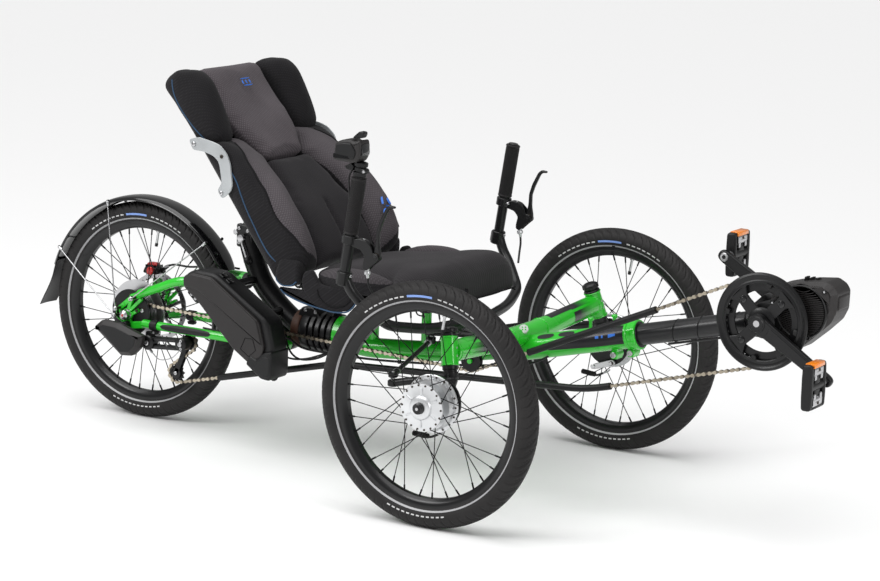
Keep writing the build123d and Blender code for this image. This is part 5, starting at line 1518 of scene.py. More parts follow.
def make_control_unit():
    """Assist control: hooded housing on top of the right upright, clamp rings below it, dark screen."""
    maker = Maker()
    body, dark = MAT["dark_plastic"], MAT["black_plastic"]
    maker.slab([(-279, 742), (-262, 749), (-243, 751.5), (-236, 747), (-220, 751), (-217, 738), (-219, 716),
                (-226, 705), (-244, 703), (-284, 706)], -331, -293, body, 5, 5, 3)
    maker.slab([(-276, 737), (-262, 743), (-240, 744), (-228, 728), (-232, 712), (-278, 712)], -333.5, -328,
               dark, 5, 2, 2)
    maker.slab([(-281, 720), (-246, 717), (-242, 712), (-281, 711)], -334, -330, MAT["seam"], 1.5, 0.8)
    maker.slab([(-216, 743), (-213.6, 724), (-216, 718), (-222, 740)], -326, -300, MAT["glass"], 1.5, 0.8)
    for k, share in enumerate((1.0, 1.045, 1.09)):
        maker.rod(bar_spot(-1, share), bar_spot(-1, share + 0.036), 14.2 - 1.8 * (k % 2), dark, 28, 1)
    maker.slab([(-232, 690), (-214, 693), (-210, 688), (-212, 682), (-230, 680)], -322, -304, dark, 3, 2)
    maker.bolt(mm(-214, -322.4, 687), (0, -1, 0), 3.0, MAT["steel"], 2.0)
    maker.slab([(-262, 694), (-246, 702), (-238, 696), (-242, 686), (-256, 688)], -322, -304, dark, 3, 2)
    maker.tube(smooth_path([mm(-244, -312, 692), mm(-252, -316, 672), mm(-250, -318, 640),
                            mm(-252, -316, 600), mm(-258, -314, 560), mm(-266, -312, 520),
                            mm(-272, -310, 480)], 6), 0.0019, MAT["cable"], 8)
    return maker.build("control_housing", "handlebar", ["control_unit"], sharp=34)


def make_shift_lever():
    """A small thumb lever on the assist control."""
    maker = Maker()
    maker.slab([(-243, 752.6), (-234, 752.6), (-219, 754.8), (-215.5, 763), (-217, 767.6), (-227, 768),
                (-233, 763), (-240, 757)], -322, -306, MAT["black_plastic"], 3, 2.2, 3)
    return maker.build("push_lever", "shift_lever", ["shift_lever"], sharp=38)


def make_bar_cables():
    """Brake cables from the barrel adjusters down behind the cross bar's ends."""
    maker = Maker()
    for side in (-1, 1):
        route = [mm(-204.9, side * BAR_Y, 474), mm(-203, side * 311, 455), mm(-199, side * 300, 436),
                 mm(-192, side * 284, 416)]
        maker.tube(smooth_path(route, 8), 0.0024, MAT["cable"], 12)
        maker.rod(mm(-205.2, side * BAR_Y, 480), mm(-204.4, side * BAR_Y, 468), 3.2, MAT["alloy"], 14)
    return maker.build("brake_hoses", "handlebar", ["bar_cables"], sharp=50)


# ---------------------------------------------------------------- rear end
def strut(maker, start, end, width, low, high, material, bevel=1.4):
    """A flat bar with round ends between two (x, z) points."""
    a, b = Vector(start), Vector(end)
    base = atan2(b.y - a.y, b.x - a.x)
    outline = []
    for end_point, reach in ((b, width / 2), (a, -width / 2)):
        for turn in [base + pi * (k / 8 - 0.5) for k in range(9)]:
            outline.append((end_point.x + reach * cos(turn), end_point.y + reach * sin(turn)))
    maker.slab(outline, low, high, material, 0.4, bevel)


def make_swingarm():
    """Green fork: trussed dropouts, round tubes with black inserts, weld collars, pivot and axle hardware."""
    maker = Maker()
    green, black, steel = MAT["green"], MAT["black_plastic"], MAT["steel"]
    px, pz = SWING_PIVOT
    axle = beside(REAR_AXLE)
    maker.rod(mm(px, -66, pz), mm(px, -13.4, pz), 16, green, 32, 1.5)
    maker.rod(mm(px, 13.4, pz), mm(px, 66, pz), 16, green, 32, 1.5)
    maker.rod(mm(px, -66, pz), mm(px, 66, pz), 8, steel, 24)
    for side in (-1, 1):
        low, high = span(side, 66, 74)
        for start, end, width in (((-1028, 243), (-1030, 258), 11), ((-1029, 259), (-990, 291), 11),
                                  ((-990, 291), (-958, 304), 15), ((-1028, 242), (-996, 226), 11),
                                  ((-996, 226), (-943, 234), 16), ((-996, 226), (-1004, 252), 13),
                                  ((-1004, 252), (-1029, 252), 11), ((-1004, 252), (-990, 291), 9),
                                  ((-1004, 252), (-966, 288), 8), ((-975, 262), (-990, 252), 8)):
            strut(maker, start, end, width, low, high, green)
        maker.turned([(0, 74), (13, 74), (14, 73), (14, 66), (0, 66)], axle, (0, side, 0), green, 32)
        path = [mm(-958, side * 70, 234), mm(-860, side * 70, 234), mm(-770, side * 70, 233.6),
                mm(-690, side * 64, 231), mm(px - 6, side * 56, pz)]
        maker.tube(smooth_path(path, 6), 0.010, green, 24)
        upper = [mm(-970, side * 70, 301), mm(-915, side * 70, 322.5), mm(-862, side * 69, 343),
                 mm(-800, side * 54, 349), mm(-738, side * 36, 352)]
        maker.tube(smooth_path(upper, 6), 0.010, green, 24)
        maker.tube([mm(-738, side * 36, 352), mm(-670, side * 36, 289), mm(px + 2, side * 36, pz + 8)],
                   0.008, green, 20)
        maker.rod(mm(-936, side * 70, 234), mm(-916, side * 70, 234), 12.4, black, 28, 1.2)
        maker.slab([(-936, 221), (-916, 221), (-918, 214), (-934, 214)], *span(side, 64, 76), black, 2, 1.2)
        maker.bolt(mm(-926, side * 76, 218), (0, side, 0), 2.8, steel, 1.6)
        rows = []
        for k in range(25):
            u = k / 24
            taper = sin(pi * u) ** 0.25 if 0 < u < 1 else 0.05
            ring = []
            for j in range(9):
                a = radians(10 + taper * 48 * (j / 4 - 1))
                ring.append(mm(-905 + 140 * u, side * (70 + 10.5 * cos(a)), 234 + 10.5 * sin(a)))
            rows.append(ring)
        maker.grid(rows if side < 0 else [row[::-1] for row in rows], black, wrap_columns=False)
        maker.turned([(0, 90), (5, 90), (6.5, 88.6), (9.6, 87.8), (11, 86.4), (11, 74.2), (12.2, 74)], axle,
                     (0, side, 0), steel, 28)
        maker.turned([(0, 91.2), (2.6, 91.2), (3.4, 90)], axle, (0, side, 0), MAT["red"] if side < 0
                     else steel, 16)
        maker.bolt(mm(-958, side * 74.4, 304), (0, side, 0), 4.2, steel, 3)
        maker.bolt(mm(-975, side * 74.4, 262), (0, side, 0), 3.6, MAT["chain_dark"], 2.4)
        maker.bolt(mm(px, side * 66.4, pz), (0, side, 0), 9, MAT["boom_black"], 3)
    maker.rod(mm(-738, -44, 352), mm(-738, 44, 352), 10, green, 28)
    maker.rod(mm(-740, 0, 352), mm(-727.8, 0, 352), 15, green, 28, 1)
    maker.slab([(-752, 352), (-746, 362), (-730, 366), (-716, 360), (-712, 350), (-730, 344)], -40, -31,
               green, 4, 2)
    maker.slab([(-1042, 262), (-1036, 318), (-1030, 334), (-1012, 336), (-999, 302), (-1008, 264),
                (-1024, 256)], 66.2, 72, green, 5, 1.5)
    maker.rod(mm(-1004, -84, 250), mm(-1004, 84, 250), 6, steel, 20)
    return maker.build("rear_fork", "swingarm", ["swingarm"], sharp=40)


def make_rear_guard():
    """Faceted box under the dropout, and the round cover outside the sprockets."""
    maker = Maker()
    dark, black = MAT["dark_plastic"], MAT["black_plastic"]
    maker.slab([(-1068, 219), (-1045, 238), (-1000, 236), (-930, 215), (-940, 185), (-960, 166),
                (-992, 163)], -118, -89.2, dark, 4, 9, 1)
    maker.slab([(-1050, 220), (-1038, 229), (-1002, 227), (-944, 210), (-950, 190), (-966, 175),
                (-990, 172)], -119, -116, black, 3, 1.5)
    maker.rod(mm(-1000, -90, 228), mm(-1000, -74.4, 228), 8, black, 20)
    maker.turned([(9, 60.6), (50, 60.6), (52.5, 61.6), (53, 63.0), (51.5, 64.2), (46, 64.8), (36, 65.3),
                  (9, 65.4)], mm(-1000, 0, 254), (0, -1, 0), black, 72)
    for a in turns(5, 20 / 72):
        maker.bolt(mm(-1000 + 41 * cos(a), -65, 254 + 41 * sin(a)), (0, -1, 0), 2.6, MAT["chain_dark"], 1.4)
    maker.bolt(mm(-966, -65.2, 262), (0, -1, 0), 4.6, MAT["steel"], 2.8)
    return maker.build("hub_cover", "swingarm", ["derailleur_guard"], sharp=26)


def make_derailleur():
    """Parallel links between two round knuckles, with a spring, screws and a cable."""
    maker = Maker()
    black, steel = MAT["black_paint"], MAT["steel"]
    ux, uz = UPPER_JOCKEY
    maker.turned([(0, 88.4), (9, 88.4), (15, 87.6), (17, 86), (17, 67), (15, 66)], mm(-936, 0, 196),
                 (0, -1, 0), black, 36)
    maker.bolt(mm(-936, -88.4, 196), (0, -1, 0), 6, steel, 2.6)
    maker.turned([(0, 84.4), (8, 84.4), (13, 83.8), (15, 82), (15, 60), (13.6, 58.6), (0, 58.6)],
                 mm(ux, 0, uz), (0, -1, 0), black, 36)
    maker.bolt(mm(ux, -84.6, uz), (0, -1, 0), 5.4, steel, 2.2)
    for lift, low, high in ((-10, -83, -77), (8, -83, -77), (-10, -72, -66.6), (8, -72, -66.6)):
        strut(maker, (-934, 196 + lift), (ux + 2, uz + lift), 9, low, high, black, 1.6)
        strut(maker, (-918, 197.4 + lift), (ux - 16, 201.8 + lift), 3.4, low - 0.8, low + 1,
              MAT["boom_black"], 0.5)
    for x, z in ((-934, 186), (-934, 204), (ux + 2, 193), (ux + 2, 211)):
        maker.bolt(mm(x, -83.2, z), (0, -1, 0), 3.4, steel, 1.8)
    maker.slab([(-952, 192), (-924, 192), (-929, 219), (-950, 219)], -74, -66.6, black, 5, 1.5)
    coil = [mm(-890 + 5 * cos(a), -74.5 + 0.42 * a, 197 + 5 * sin(a)) for a in [k * 0.5 for k in range(26)]]
    maker.tube(coil, 0.0010, steel, 8)
    maker.rod(mm(-936, -77, 180), mm(-928, -77, 172), 3.2, steel, 14)
    maker.tube(smooth_path([mm(-929, -77, 173), mm(-905, -80, 160), mm(-872, -80, 168), mm(-850, -74, 190)],
                           8), 0.0011, steel, 8)
    return maker.build("gear_mech", "swingarm", ["derailleur_body"], sharp=38)


def make_cage():
    """Two plates with a bolt through each guide wheel."""
    maker = Maker()
    black, steel = MAT["black_paint"], MAT["steel"]
    (ux, uz), (lx, lz) = UPPER_JOCKEY, LOWER_JOCKEY
    for low in (-58.2, -48.2):
        strut(maker, (lx, lz), (ux, uz), 12, low, low + 2.4, black, 0.8)
        for x, z in ((ux, uz), (lx, lz)):
            maker.slab([(x + 13 * cos(a), z + 13 * sin(a)) for a in [pi * k / 9 for k in range(18)]], low,
                       low + 2.4, black, 1, 0.8)
    maker.slab([(lx - 14, lz - 5), (lx - 19, lz + 4), (lx - 12, lz + 14), (lx - 4, lz + 10)], -58.2, -55.8,
               black, 3, 0.8)
    for x, z in ((ux, uz), (lx, lz)):
        maker.rod(mm(x, -59, z), mm(x, -45, z), 4, steel, 20)
        maker.bolt(mm(x, -58.4, z), (0, -1, 0), 4.4, steel, 2.2)
    return maker.build("mech_cage", "derailleur_cage", ["derailleur_cage"], sharp=38)


def make_jockey(name, place):
    """Small toothed wheel with scooped web and steel bush."""
    maker = Maker()
    black = MAT["black_plastic"]
    x, z = place
    outline = []
    for tooth in range(11):
        for part, radius in ((0.05, 20.6), (0.17, 21.2), (0.29, 20.6), (0.42, 18.0), (0.67, 16.9),
                             (0.92, 18.0)):
            a = 2 * pi * (tooth + part) / 11
            outline.append((x + radius * cos(a), z + radius * sin(a)))
    maker.slab(outline, -53.1, -50.9, black, 0.3, 0.4, 1)
    for way in (1, -1):
        maker.turned([(4.2, 3.2), (9.4, 3.2), (10.2, 2.4), (10.4, 1.0)], mm(x, CHAIN_Y, z), (0, way, 0),
                     black, 32)
    return maker.build(f"guide_wheel_{name}", f"jockey_{name}", [f"jockey_{name}"], sharp=34)


def make_caliper():
    """Disc brake caliper: ribbed black body, red adjusters, silver bolts and a short cable."""
    maker = Maker()
    black, red, steel = MAT["black_paint"], MAT["red"], MAT["steel"]
    maker.slab([(-1046, 316), (-1042, 336), (-1034, 341), (-1004, 341), (-997, 332), (-999, 318),
                (-1008, 312), (-1038, 311)], 49.7, 66, black, 6, 3, 2)
    maker.slab([(-1044, 326), (-1038, 341), (-1004, 341), (-998, 328), (-1006, 324.5), (-1036, 324.5)], 36,
               50, black, 5, 2.5, 2)
    for k in range(5):
        x = -1036 + 7.4 * k
        maker.slab([(x - 1.5, 339), (x + 1.5, 339), (x + 1.5, 345), (x - 1.5, 345)], 38, 63, black, 0.8, 0.7)
    maker.slab([(-1036, 342), (-1010, 342), (-1008, 347), (-1012, 350), (-1032, 350), (-1038, 347)], 44, 58,
               red, 3, 1.5)
    maker.turned([(0, 27.4), (5, 27.4), (8.6, 28.4), (9.6, 30), (9.6, 34), (9, 36.2)], mm(-1018, 0, 333),
                 (0, 1, 0), red, 28)
    maker.turned([(0, 70), (5, 70), (8.6, 69), (9.6, 67.4), (9.6, 65)], mm(-1018, 0, 330), (0, 1, 0), red, 28)
    for x, z in ((-1038, 320), (-1006, 322)):
        maker.rod(mm(x, 60, z - 6), mm(x, 60, z + 18), 3.6, steel, 16)
    maker.slab([(-1004, 336), (-984, 348), (-980, 343), (-1000, 328)], 50, 55, black, 2, 1)
    hose = [mm(-984, 52, 346), mm(-960, 50, 352), mm(-925, 58, 350), mm(-880, 66, 356), mm(-830, 56, 364),
            mm(-770, 34, 368)]
    maker.tube(smooth_path(hose, 8), 0.0024, MAT["cable"], 10)
    maker.rod(mm(-992, 52.4, 342), mm(-978, 51.6, 348), 3.4, steel, 14)
    return maker.build("disc_caliper", "swingarm", ["caliper"], sharp=36)


# ---------------------------------------------------------------- frame details
def boom_at(x):
    """A place on the boom's axis."""
    return Vector((x, 0, 362 + 0.242 * (x - 261)))


def wrap(maker, start, end, radius, edges, material, rows_count=24, across=10):
    """A thin skin on a round tube. edges(u) gives its two limits in degrees at each share u of the length:
    0 degrees is on the right-hand side of someone looking along the tube, and 90 degrees is on top."""
    start, end = Vector(start), Vector(end)
    along = (end - start).normalized()
    up = (Vector((0, 0, 1)) - along * along.z).normalized()
    side = along.cross(up)
    rows = []
    for k in range(rows_count + 1):
        u = k / rows_count
        low, high = edges(u)
        middle = start.lerp(end, u)
        ring = []
        for j in range(across + 1):
            a = radians(low + (high - low) * j / across)
            p = middle + (side * cos(a) + up * sin(a)) * radius
            ring.append(mm(*p))
        rows.append(ring)
    maker.grid(rows, material, wrap_columns=False)


def weld(maker, centre, axis, radius, material, bead=1.6):
    """A rippled bead round a tube joint; millimetres."""
    axis = Vector(axis).normalized()
    side = axis.orthogonal().normalized()
    other = axis.cross(side)
    path = []
    for a in turns(72, closed=True):
        ripple = radius + 0.35 * cos(24 * a)
        p = Vector(centre) + (side * cos(a) + other * sin(a)) * ripple
        path.append(mm(*p))
    maker.tube(path, bead / 1000, material, 8, caps=False)


def kingpin(side, distance):
    """A place on a kingpin's axis, distance millimetres up from the middle of its head tube."""
    lean_x, lean_y = -0.222, -0.241
    rise = sqrt(1 - lean_x ** 2 - lean_y ** 2)
    return Vector((-8 + lean_x * distance, side * (308.5 + lean_y * distance), 344.5 + rise * distance))


def make_frame_trim():
    """Collar rings, weld beads, guide posts, bearing cups and screws on the green frame."""
    maker = Maker()
    green, black, steel = MAT["green"], MAT["black_paint"], MAT["steel"]
    for x, wide in ((258, 5.0), (240, 3.2)):
        a, b = boom_at(x - wide), boom_at(x + wide)
        maker.rod(mm(*a), mm(*b), 31.2, green, 56, 1.4)
    maker.rod(mm(*boom_at(262.2)), mm(*boom_at(264.6)), 27.0, black, 48, 0.8)
    for side in (-1, 1):
        for reach in (-28, 28):
            maker.rod(mm(*kingpin(side, reach - 3)), mm(*kingpin(side, reach)), 19.2, green, 44, 1)
            cup = reach + copysign(4, reach)
            maker.rod(mm(*kingpin(side, reach)), mm(*kingpin(side, cup)), 17.6, black, 40, 1)
        for k in range(2):
            spot = kingpin(side, -8 + 16 * k)
            maker.bolt(mm(spot.x + 17.4, spot.y, spot.z), (1, 0, 0.2), 2.4, steel, 1.2)
        weld(maker, (-9, side * 291, 341), (0, 1, 0.05), 21.6, green)
        weld(maker, (-12, side * 66, 326), (0, 1, 0.05), 22.4, green, 2.2)
    for x in (205, 150):
        p = boom_at(x)
        maker.rod(mm(p.x, -8, p.z + 24), mm(p.x, -8, p.z + 44), 3.4, green, 16)
        maker.turned([(0, 4), (5, 3.6), (6.4, 2), (6.4, -2), (4.6, -3.4), (3.4, -4)], mm(p.x, -8, p.z + 46),
                     (0, 0, 1), green, 20)
    for x in (248, 210):
        p = boom_at(x)
        maker.rod(mm(p.x, -15, p.z - 35), mm(p.x, 15, p.z - 35), 8.5, green, 28, 1.5)
        maker.bolt(mm(p.x, -17, p.z - 35), (0, -1, 0), 6.2, steel, 3.4)
    weld(maker, (STEER_POST_X, 0, 271), (0, 0, 1), 15.6, green)
    maker.rod(mm(STEER_POST_X, 0, 362), mm(STEER_POST_X, 0, 369), 15, black, 36, 1.5)
    maker.turned([(0, 4), (6, 4), (9, 3), (10, 0)], mm(STEER_POST_X, 0, 369), (0, 0, 1), steel, 6)
    for x in (-252, -385):
        weld(maker, (x, 0, 266 if x > -300 else 256), (0, 0, 1), 11.8, green)
    weld(maker, (-452.6, 0, 263), (1, 0, 0), 24, green, 3)
    return maker.build("frame_trim", "frame", sharp=40)


def make_frame_panels():
    """Black panels on the green tubes, with soft fading ends, the silver badge and the boom's marks."""
    maker = Maker()
    black, fade = MAT["panel_black"], MAT["panel_fade"]
    start, end = boom_at(60), boom_at(250)

    def wedge(u):
        lift = min(1.0, u / 0.55)
        return 176 - 62 * lift, 198 + 10 * lift
    for flip in (False, True):
        wrap(maker, start, end, 26.5, (lambda u: tuple(180 - a for a in wedge(u))) if flip else wedge, black,
             28, 14)
    for u0, u1 in ((34, 74), (84, 122)):
        wrap(maker, boom_at(u0), boom_at(u1), 26.6,
             lambda u: (54 - 15 * sin(pi * u) ** 0.35, 54 + 15 * sin(pi * u) ** 0.35)
             if 0 < u < 1 else (53.9, 54.1), black, 18, 8)
    for side in (-1, 1):
        inner, outer = Vector((-12, side * 96, 327.8)), Vector((-9.6, side * 262, 339.4))
        middle = inner.lerp(outer, 0.52)

        def band(low, high):
            return (lambda u: (low, high)) if side > 0 else (lambda u: (180 - high, 180 - low))
        wrap(maker, inner, middle, 22.6, band(58, 104), black, 16, 8)
        wrap(maker, middle, outer, 22.6, band(52, 100), fade, 16, 8)
        wrap(maker, middle, outer, 22.6, band(-26, 34), fade, 16, 10)
    panels = maker.build("frame_panels", "frame", sharp=60)
    badge = Maker()
    centre = mm(5, -31, 345)
    face = Vector((0.50, -0.66, 0.56)).normalized()
    badge.lathe([(0.0, 0.0022), (0.0062, 0.0022), (0.0068, 0.0014), (0.0094, 0.0014), (0.0102, 0.0006),
                 (0.0106, -0.006)], centre, face, MAT["badge"], 8)
    across = face.cross(Vector((0, 0, 1))).normalized()
    up = across.cross(face)
    for dx, dz in ((-3.2, 2.6), (3.2, 2.6), (-3.2, -2.6), (3.2, -2.6)):
        badge.lathe([(0.0, 0.0030), (0.0014, 0.0030), (0.0016, 0.0020)], centre + across * dx / 1000
                    + up * dz / 1000, face, MAT["green"], 10)
    badge.build("frame_badge", "frame", sharp=40)
    marks = Maker()
    for k, (low, high, x0, x1) in enumerate(((10, 22, 172, 180), (10, 22, 186, 190), (8, 24, 202, 218))):
        wrap(marks, boom_at(x0), boom_at(x1), 26.9, lambda u, a=low, b=high,
             s=k: (a + (6 * u if s == 2 else 0), b), MAT["mark_blue"], 4, 4)
    marks.build("boom_marks", "frame", sharp=60)
    return panels


def make_rear_riser():
    """Black mast behind the seat: ribbed clamp block, strap, bent tube with brackets and hinge plates."""
    maker = Maker()
    black, steel = MAT["black_paint"], MAT["steel"]
    line = [mm(x, 0, z) for x, z in ((-540, 264), (-575, 268), (-610, 288), (-648, 318), (-680, 352),
                                     (-699, 388), (-713, 425), (-722, 455))]
    maker.tube(smooth_path(line, 6), 0.024, black, 32)
    profile = [(24, 470.2), (42, 470.2), (45, 472)]
    for x in (482, 498, 514, 530):
        profile += [(45, x - 1.2), (43.8, x), (38.5, x + 0.6), (38.5, x + 4.4), (43.8, x + 5), (45, x + 6.2)]
    profile += [(45, 552), (42, 556), (24, 556.4)]
    maker.turned([(r, h) for r, h in profile], mm(0, 0, 263), (-1, 0, 0), black, 72)
    maker.turned([(38, 557), (41.5, 557), (43, 559), (43.4, 566), (43, 576), (41, 578), (32, 578)],
                 mm(0, 0, 264.5), (-1, 0, 0), MAT["brown"], 64)
    maker.slab([(-575, 288), (-560, 318), (-528, 322), (-508, 300), (-520, 288)], -26, 26, black, 8, 4)
    maker.slab([(-500, 300), (-480, 304), (-476, 322), (-498, 326)], -18, 18, black, 4, 3)
    for x, z in ((-548, 312), (-522, 310)):
        maker.bolt(mm(x, -26.4, z), (0, -1, 0), 4, steel, 2.2)
    px, pz = SWING_PIVOT
    maker.slab([(px - 21, pz + 60), (px - 17, pz - 6), (px - 8, pz - 16), (px + 8, pz - 16),
                (px + 17, pz - 6), (px + 21, pz + 60)], -13, 13, black, 5, 2.5)
    maker.rod(mm(-690, -18, 362), mm(-690, -92, 362), 9, black, 24)
    maker.rod(mm(-620, -18, 300), mm(-620, -92, 300), 9, black, 24)
    for side in (-1, 1):
        maker.slab([(-742, 430), (-704, 428), (-700, 440), (-704, 474), (-712, 479), (-742, 482)],
                   *span(side, 4.6, 18), black, 5, 2.2)
        for x, z in ((-734, 472), (-734, 440), (-711, 468)):
            maker.bolt(mm(x, side * 18.2, z), (0, side, 0), 4.0, steel, 2.6)
    maker.rod(mm(-745, -19, 462), mm(-745, 19, 462), 6, steel, 20)
    return maker.build("rear_mast", "frame", ["rear_riser"], sharp=38)


def make_recline_lever():
    """A bent wire handle with a ball at its end."""
    maker = Maker()
    black, steel = MAT["black_plastic"], MAT["steel"]
    maker.turned([(0, 33.6), (4, 33.6), (8, 32.6), (8.4, 31), (8.4, 24.6), (0, 24.4)], mm(-722, 0, 452),
                 (0, -1, 0), steel, 28)
    maker.tube(smooth_path([mm(-722, -29, 452), mm(-716, -31, 438), mm(-706, -34, 420), mm(-700, -35, 408)],
                           5), 0.0034, steel, 12)
    ball = [(9 * sin(pi * k / 14), -9 * cos(pi * k / 14)) for k in range(15)]
    maker.turned(ball, mm(-699, -35, 405), (0.3, -0.05, -1), black, 32)
    return maker.build("recline_handle", "recline_lever", ["recline_lever"], sharp=40)


def make_knuckle(name, side):
    """Kingpin with ribbed top cap, axle carrier, steering arm with rubber boot, brake plate and cable."""
    maker = Maker()
    black, steel, boot = MAT["black_paint"], MAT["steel"], MAT["boot"]

    def at(x, y, z):
        return mm(x, side * y, z)
    up = (kingpin(side, 1) - kingpin(side, 0)).normalized()
    base = mm(*kingpin(side, 0))
    top = [(8, 28.4), (15, 28.6), (16.2, 30), (16.2, 33), (13.6, 34), (13.6, 35.4), (17, 36.2), (17.6, 38),
           (17.6, 43), (16.2, 45), (12, 47.6), (5, 48.4), (0, 48.4)]
    maker.turned(top, base, up, black, 48)
    ahead = up.orthogonal().normalized()
    for a in turns(12):
        out = ahead * cos(a) + up.cross(ahead) * sin(a)
        maker.rod(base + out * 0.0165 + up * 0.037, base + out * 0.0165 + up * 0.0445, 2.2, black, 8, 0.5)
    low = [(0, -62.2), (11, -62), (14.6, -60.4), (16, -58), (16, -44), (14, -42.6), (14, -40), (16, -38.6),
           (16, -30), (14.8, -28.6), (8, -28.6)]
    maker.turned(low, base, up, black, 44)
    foot = kingpin(side, -58)
    x, y, z = foot.x, abs(foot.y), foot.z
    maker.tube(smooth_path([at(x, y, z), at((x + 6) / 2 + 2, (y + 350) / 2, (z + 260) / 2 + 2),
                            at(6, 350, 260)], 5), 0.0148, black, 24)
    maker.turned([(0, 338), (16, 338), (20, 341), (20, 357), (18, 360), (9, 360)], mm(0, 0, 250),
                 (0, side, 0), black, 40)
    maker.tube(smooth_path([at(x, y, z + 6), at(-28, 337, 289), at(-52, 340.5, 283.5), at(-84, 346, 277),
                            at(-114, 350, 270)], 5), [0.0098] * 6 + [0.0088] * 5 + [0.0080] * 10, black, 20)
    maker.rod(at(-114, 350, 263.6), at(-114, 350, 276.4), 11, black, 28, 2)
    maker.turned([(0, 279.4), (3.4, 279.4), (5, 278.6), (6.4, 278.4), (6.4, 276)], mm(-114, side * 350, 0),
                 (0, 0, 1), steel, 6)
    maker.turned([(9, 357.4), (50, 357.4), (53, 358.4), (53.4, 360), (52.6, 363.2), (48, 363.6), (9, 363.6)],
                 mm(0, 0, 250), (0, side, 0), black, 72)
    for k in range(3):
        a = radians(100 + 120 * k)
        maker.bolt(mm(38 * cos(a), side * 357.4, 250 + 38 * sin(a)), (0, -side, 0), 3.2, steel, 2.2)
    maker.rod(at(0, 358, 250), at(0, 434, 250), 9.4, steel, 28)
    maker.turned([(0, 442), (5.5, 442), (6, 440.6), (9, 441), (11.2, 439.6), (11.6, 437), (11.4, 433.2)],
                 mm(0, 0, 250), (0, side, 0), MAT["boom_black"], 32)
    maker.turned([(0, 442.4), (3, 442.4), (3.4, 441)], mm(0, 0, 250), (0, side, 0), steel, 16)
    start, end = at(-60, 356, 176), at(-24, 352.6, 174)
    bellows = [(4.2 + 1.5 * (k % 2), 1.5 * k) for k in range(25)]
    maker.turned([(2.4, 0)] + bellows + [(2.4, 37)], start, (end - start), boot, 24)
    maker.tube(smooth_path([start, at(-40, 354, 171), at(-20, 352, 173), at(-4, 351, 180)], 6), 0.0025,
               MAT["cable"], 12)
    loop = [at(-4, 351, 180), at(6, 351, 184), at(12, 351, 190)]
    maker.tube(smooth_path(loop, 5), 0.0018, steel, 10)
    maker.rod(at(16, 343, 205), at(16, 358, 205), 4, steel, 16)
    return maker.build(f"steer_knuckle_{name}", f"knuckle_{name}", [f"knuckle_{name}"],
                       sharp=38)


def make_brake_arm(name, side):
    """The short steel arm that turns the drum brake."""
    maker = Maker()
    x, z = 16.0, 205.0
    low, high = span(side, 348, 353)
    maker.slab([(x + 9, z + 4), (x + 4, z + 9), (x - 6, z + 7), (x - 44, z - 7), (x - 51, z - 12),
                (x - 49, z - 19), (x - 42, z - 19), (x - 8, z - 9), (x + 6, z - 8)], low, high, MAT["steel"],
               4, 1.2)
    maker.bolt(mm(x, side * 347.6, z), (0, -side, 0), 5, MAT["chain_dark"], 2.6)
    maker.rod(mm(x - 45, side * 345, z - 13), mm(x - 45, side * 354, z - 13), 5, MAT["steel"], 20)
    return maker.build(f"drum_arm_{name}", f"brake_arm_{name}", [f"brake_arm_{name}"], sharp=38)


def make_link(name, side):
    """Steering link with jam nuts and a rubber-booted joint at each end."""
    maker = Maker()
    black, steel = MAT["black_paint"], MAT["steel"]
    start, end = mm(STEER_LEVER_END[0], side * STEER_LEVER_END[1], 294), mm(-114, side * 350, 287)
    along = (end - start).normalized()
    maker.rod(start + along * 0.012, end - along * 0.012, 4.9, black, 24)
    pin = link_axis(side)
    for spot, axis, half in ((start, pin, 7.4), (end, Vector((0, 0, 1)), 5)):
        maker.turned([(4.2, half), (8.4, half), (10, half - 1.6), (10, 1.6 - half), (8.4, -half),
                      (4.2, -half)], spot, axis, black, 32)
    for spot, way in ((start, along), (end, -along)):
        maker.rod(spot + way * 0.010, spot + way * 0.026, 6.8, black, 24)
        maker.turned([(4.9, 26), (8.2, 26), (8.2, 31), (4.9, 31)], spot, way, steel, 6)
    maker.rod(end - Vector((0, 0, 0.012)), end + Vector((0, 0, 0.0075)), 3.6, steel, 14)
    return maker.build(f"steer_link_{name}", f"drag_link_{name}", [f"drag_link_{name}"],
                       sharp=38)


def make_boom():
    """Boom tube with motor bracket, its screws and a cable along the underside."""
    maker = Maker()
    black, steel = MAT["boom_black"], MAT["steel"]
    a, b = boom_at(61), boom_at(520)
    maker.rod(mm(*a), mm(*b), 22.2, black, 64, 0.6)
    maker.slab([(500, 402), (540, 393), (554, 399), (556, 412), (556, 466), (552, 477), (540, 485),
                (506, 452)], -14, 14, MAT["black_paint"], 5, 2.4)
    weld(maker, (505, 0, 421), (1, 0, 0.242), 22.6, MAT["black_paint"], 1.6)
    for x, z in ((530, 420), (530, 456), (546, 440)):
        maker.bolt(mm(x, -14.4, z), (0, -1, 0), 4.4, steel, 2.6)
    cable = [mm(x, -6, boom_at(x).z - 25.4) for x in (330, 390, 450, 500)] + [mm(540, -10, 398)]
    maker.tube(smooth_path(cable, 6), 0.0026, MAT["cable"], 10)
    for x in (345, 400, 480):
        p = boom_at(x)
        ring = [p + Vector((0, 22.9 * cos(a), 22.9 * sin(a))) for a in turns(40, closed=True)]
        maker.tube([mm(*q) for q in ring], 0.0011, MAT["cable"], 6, caps=False)
    return maker.build("front_boom", "boom", ["boom_tube"], sharp=40)


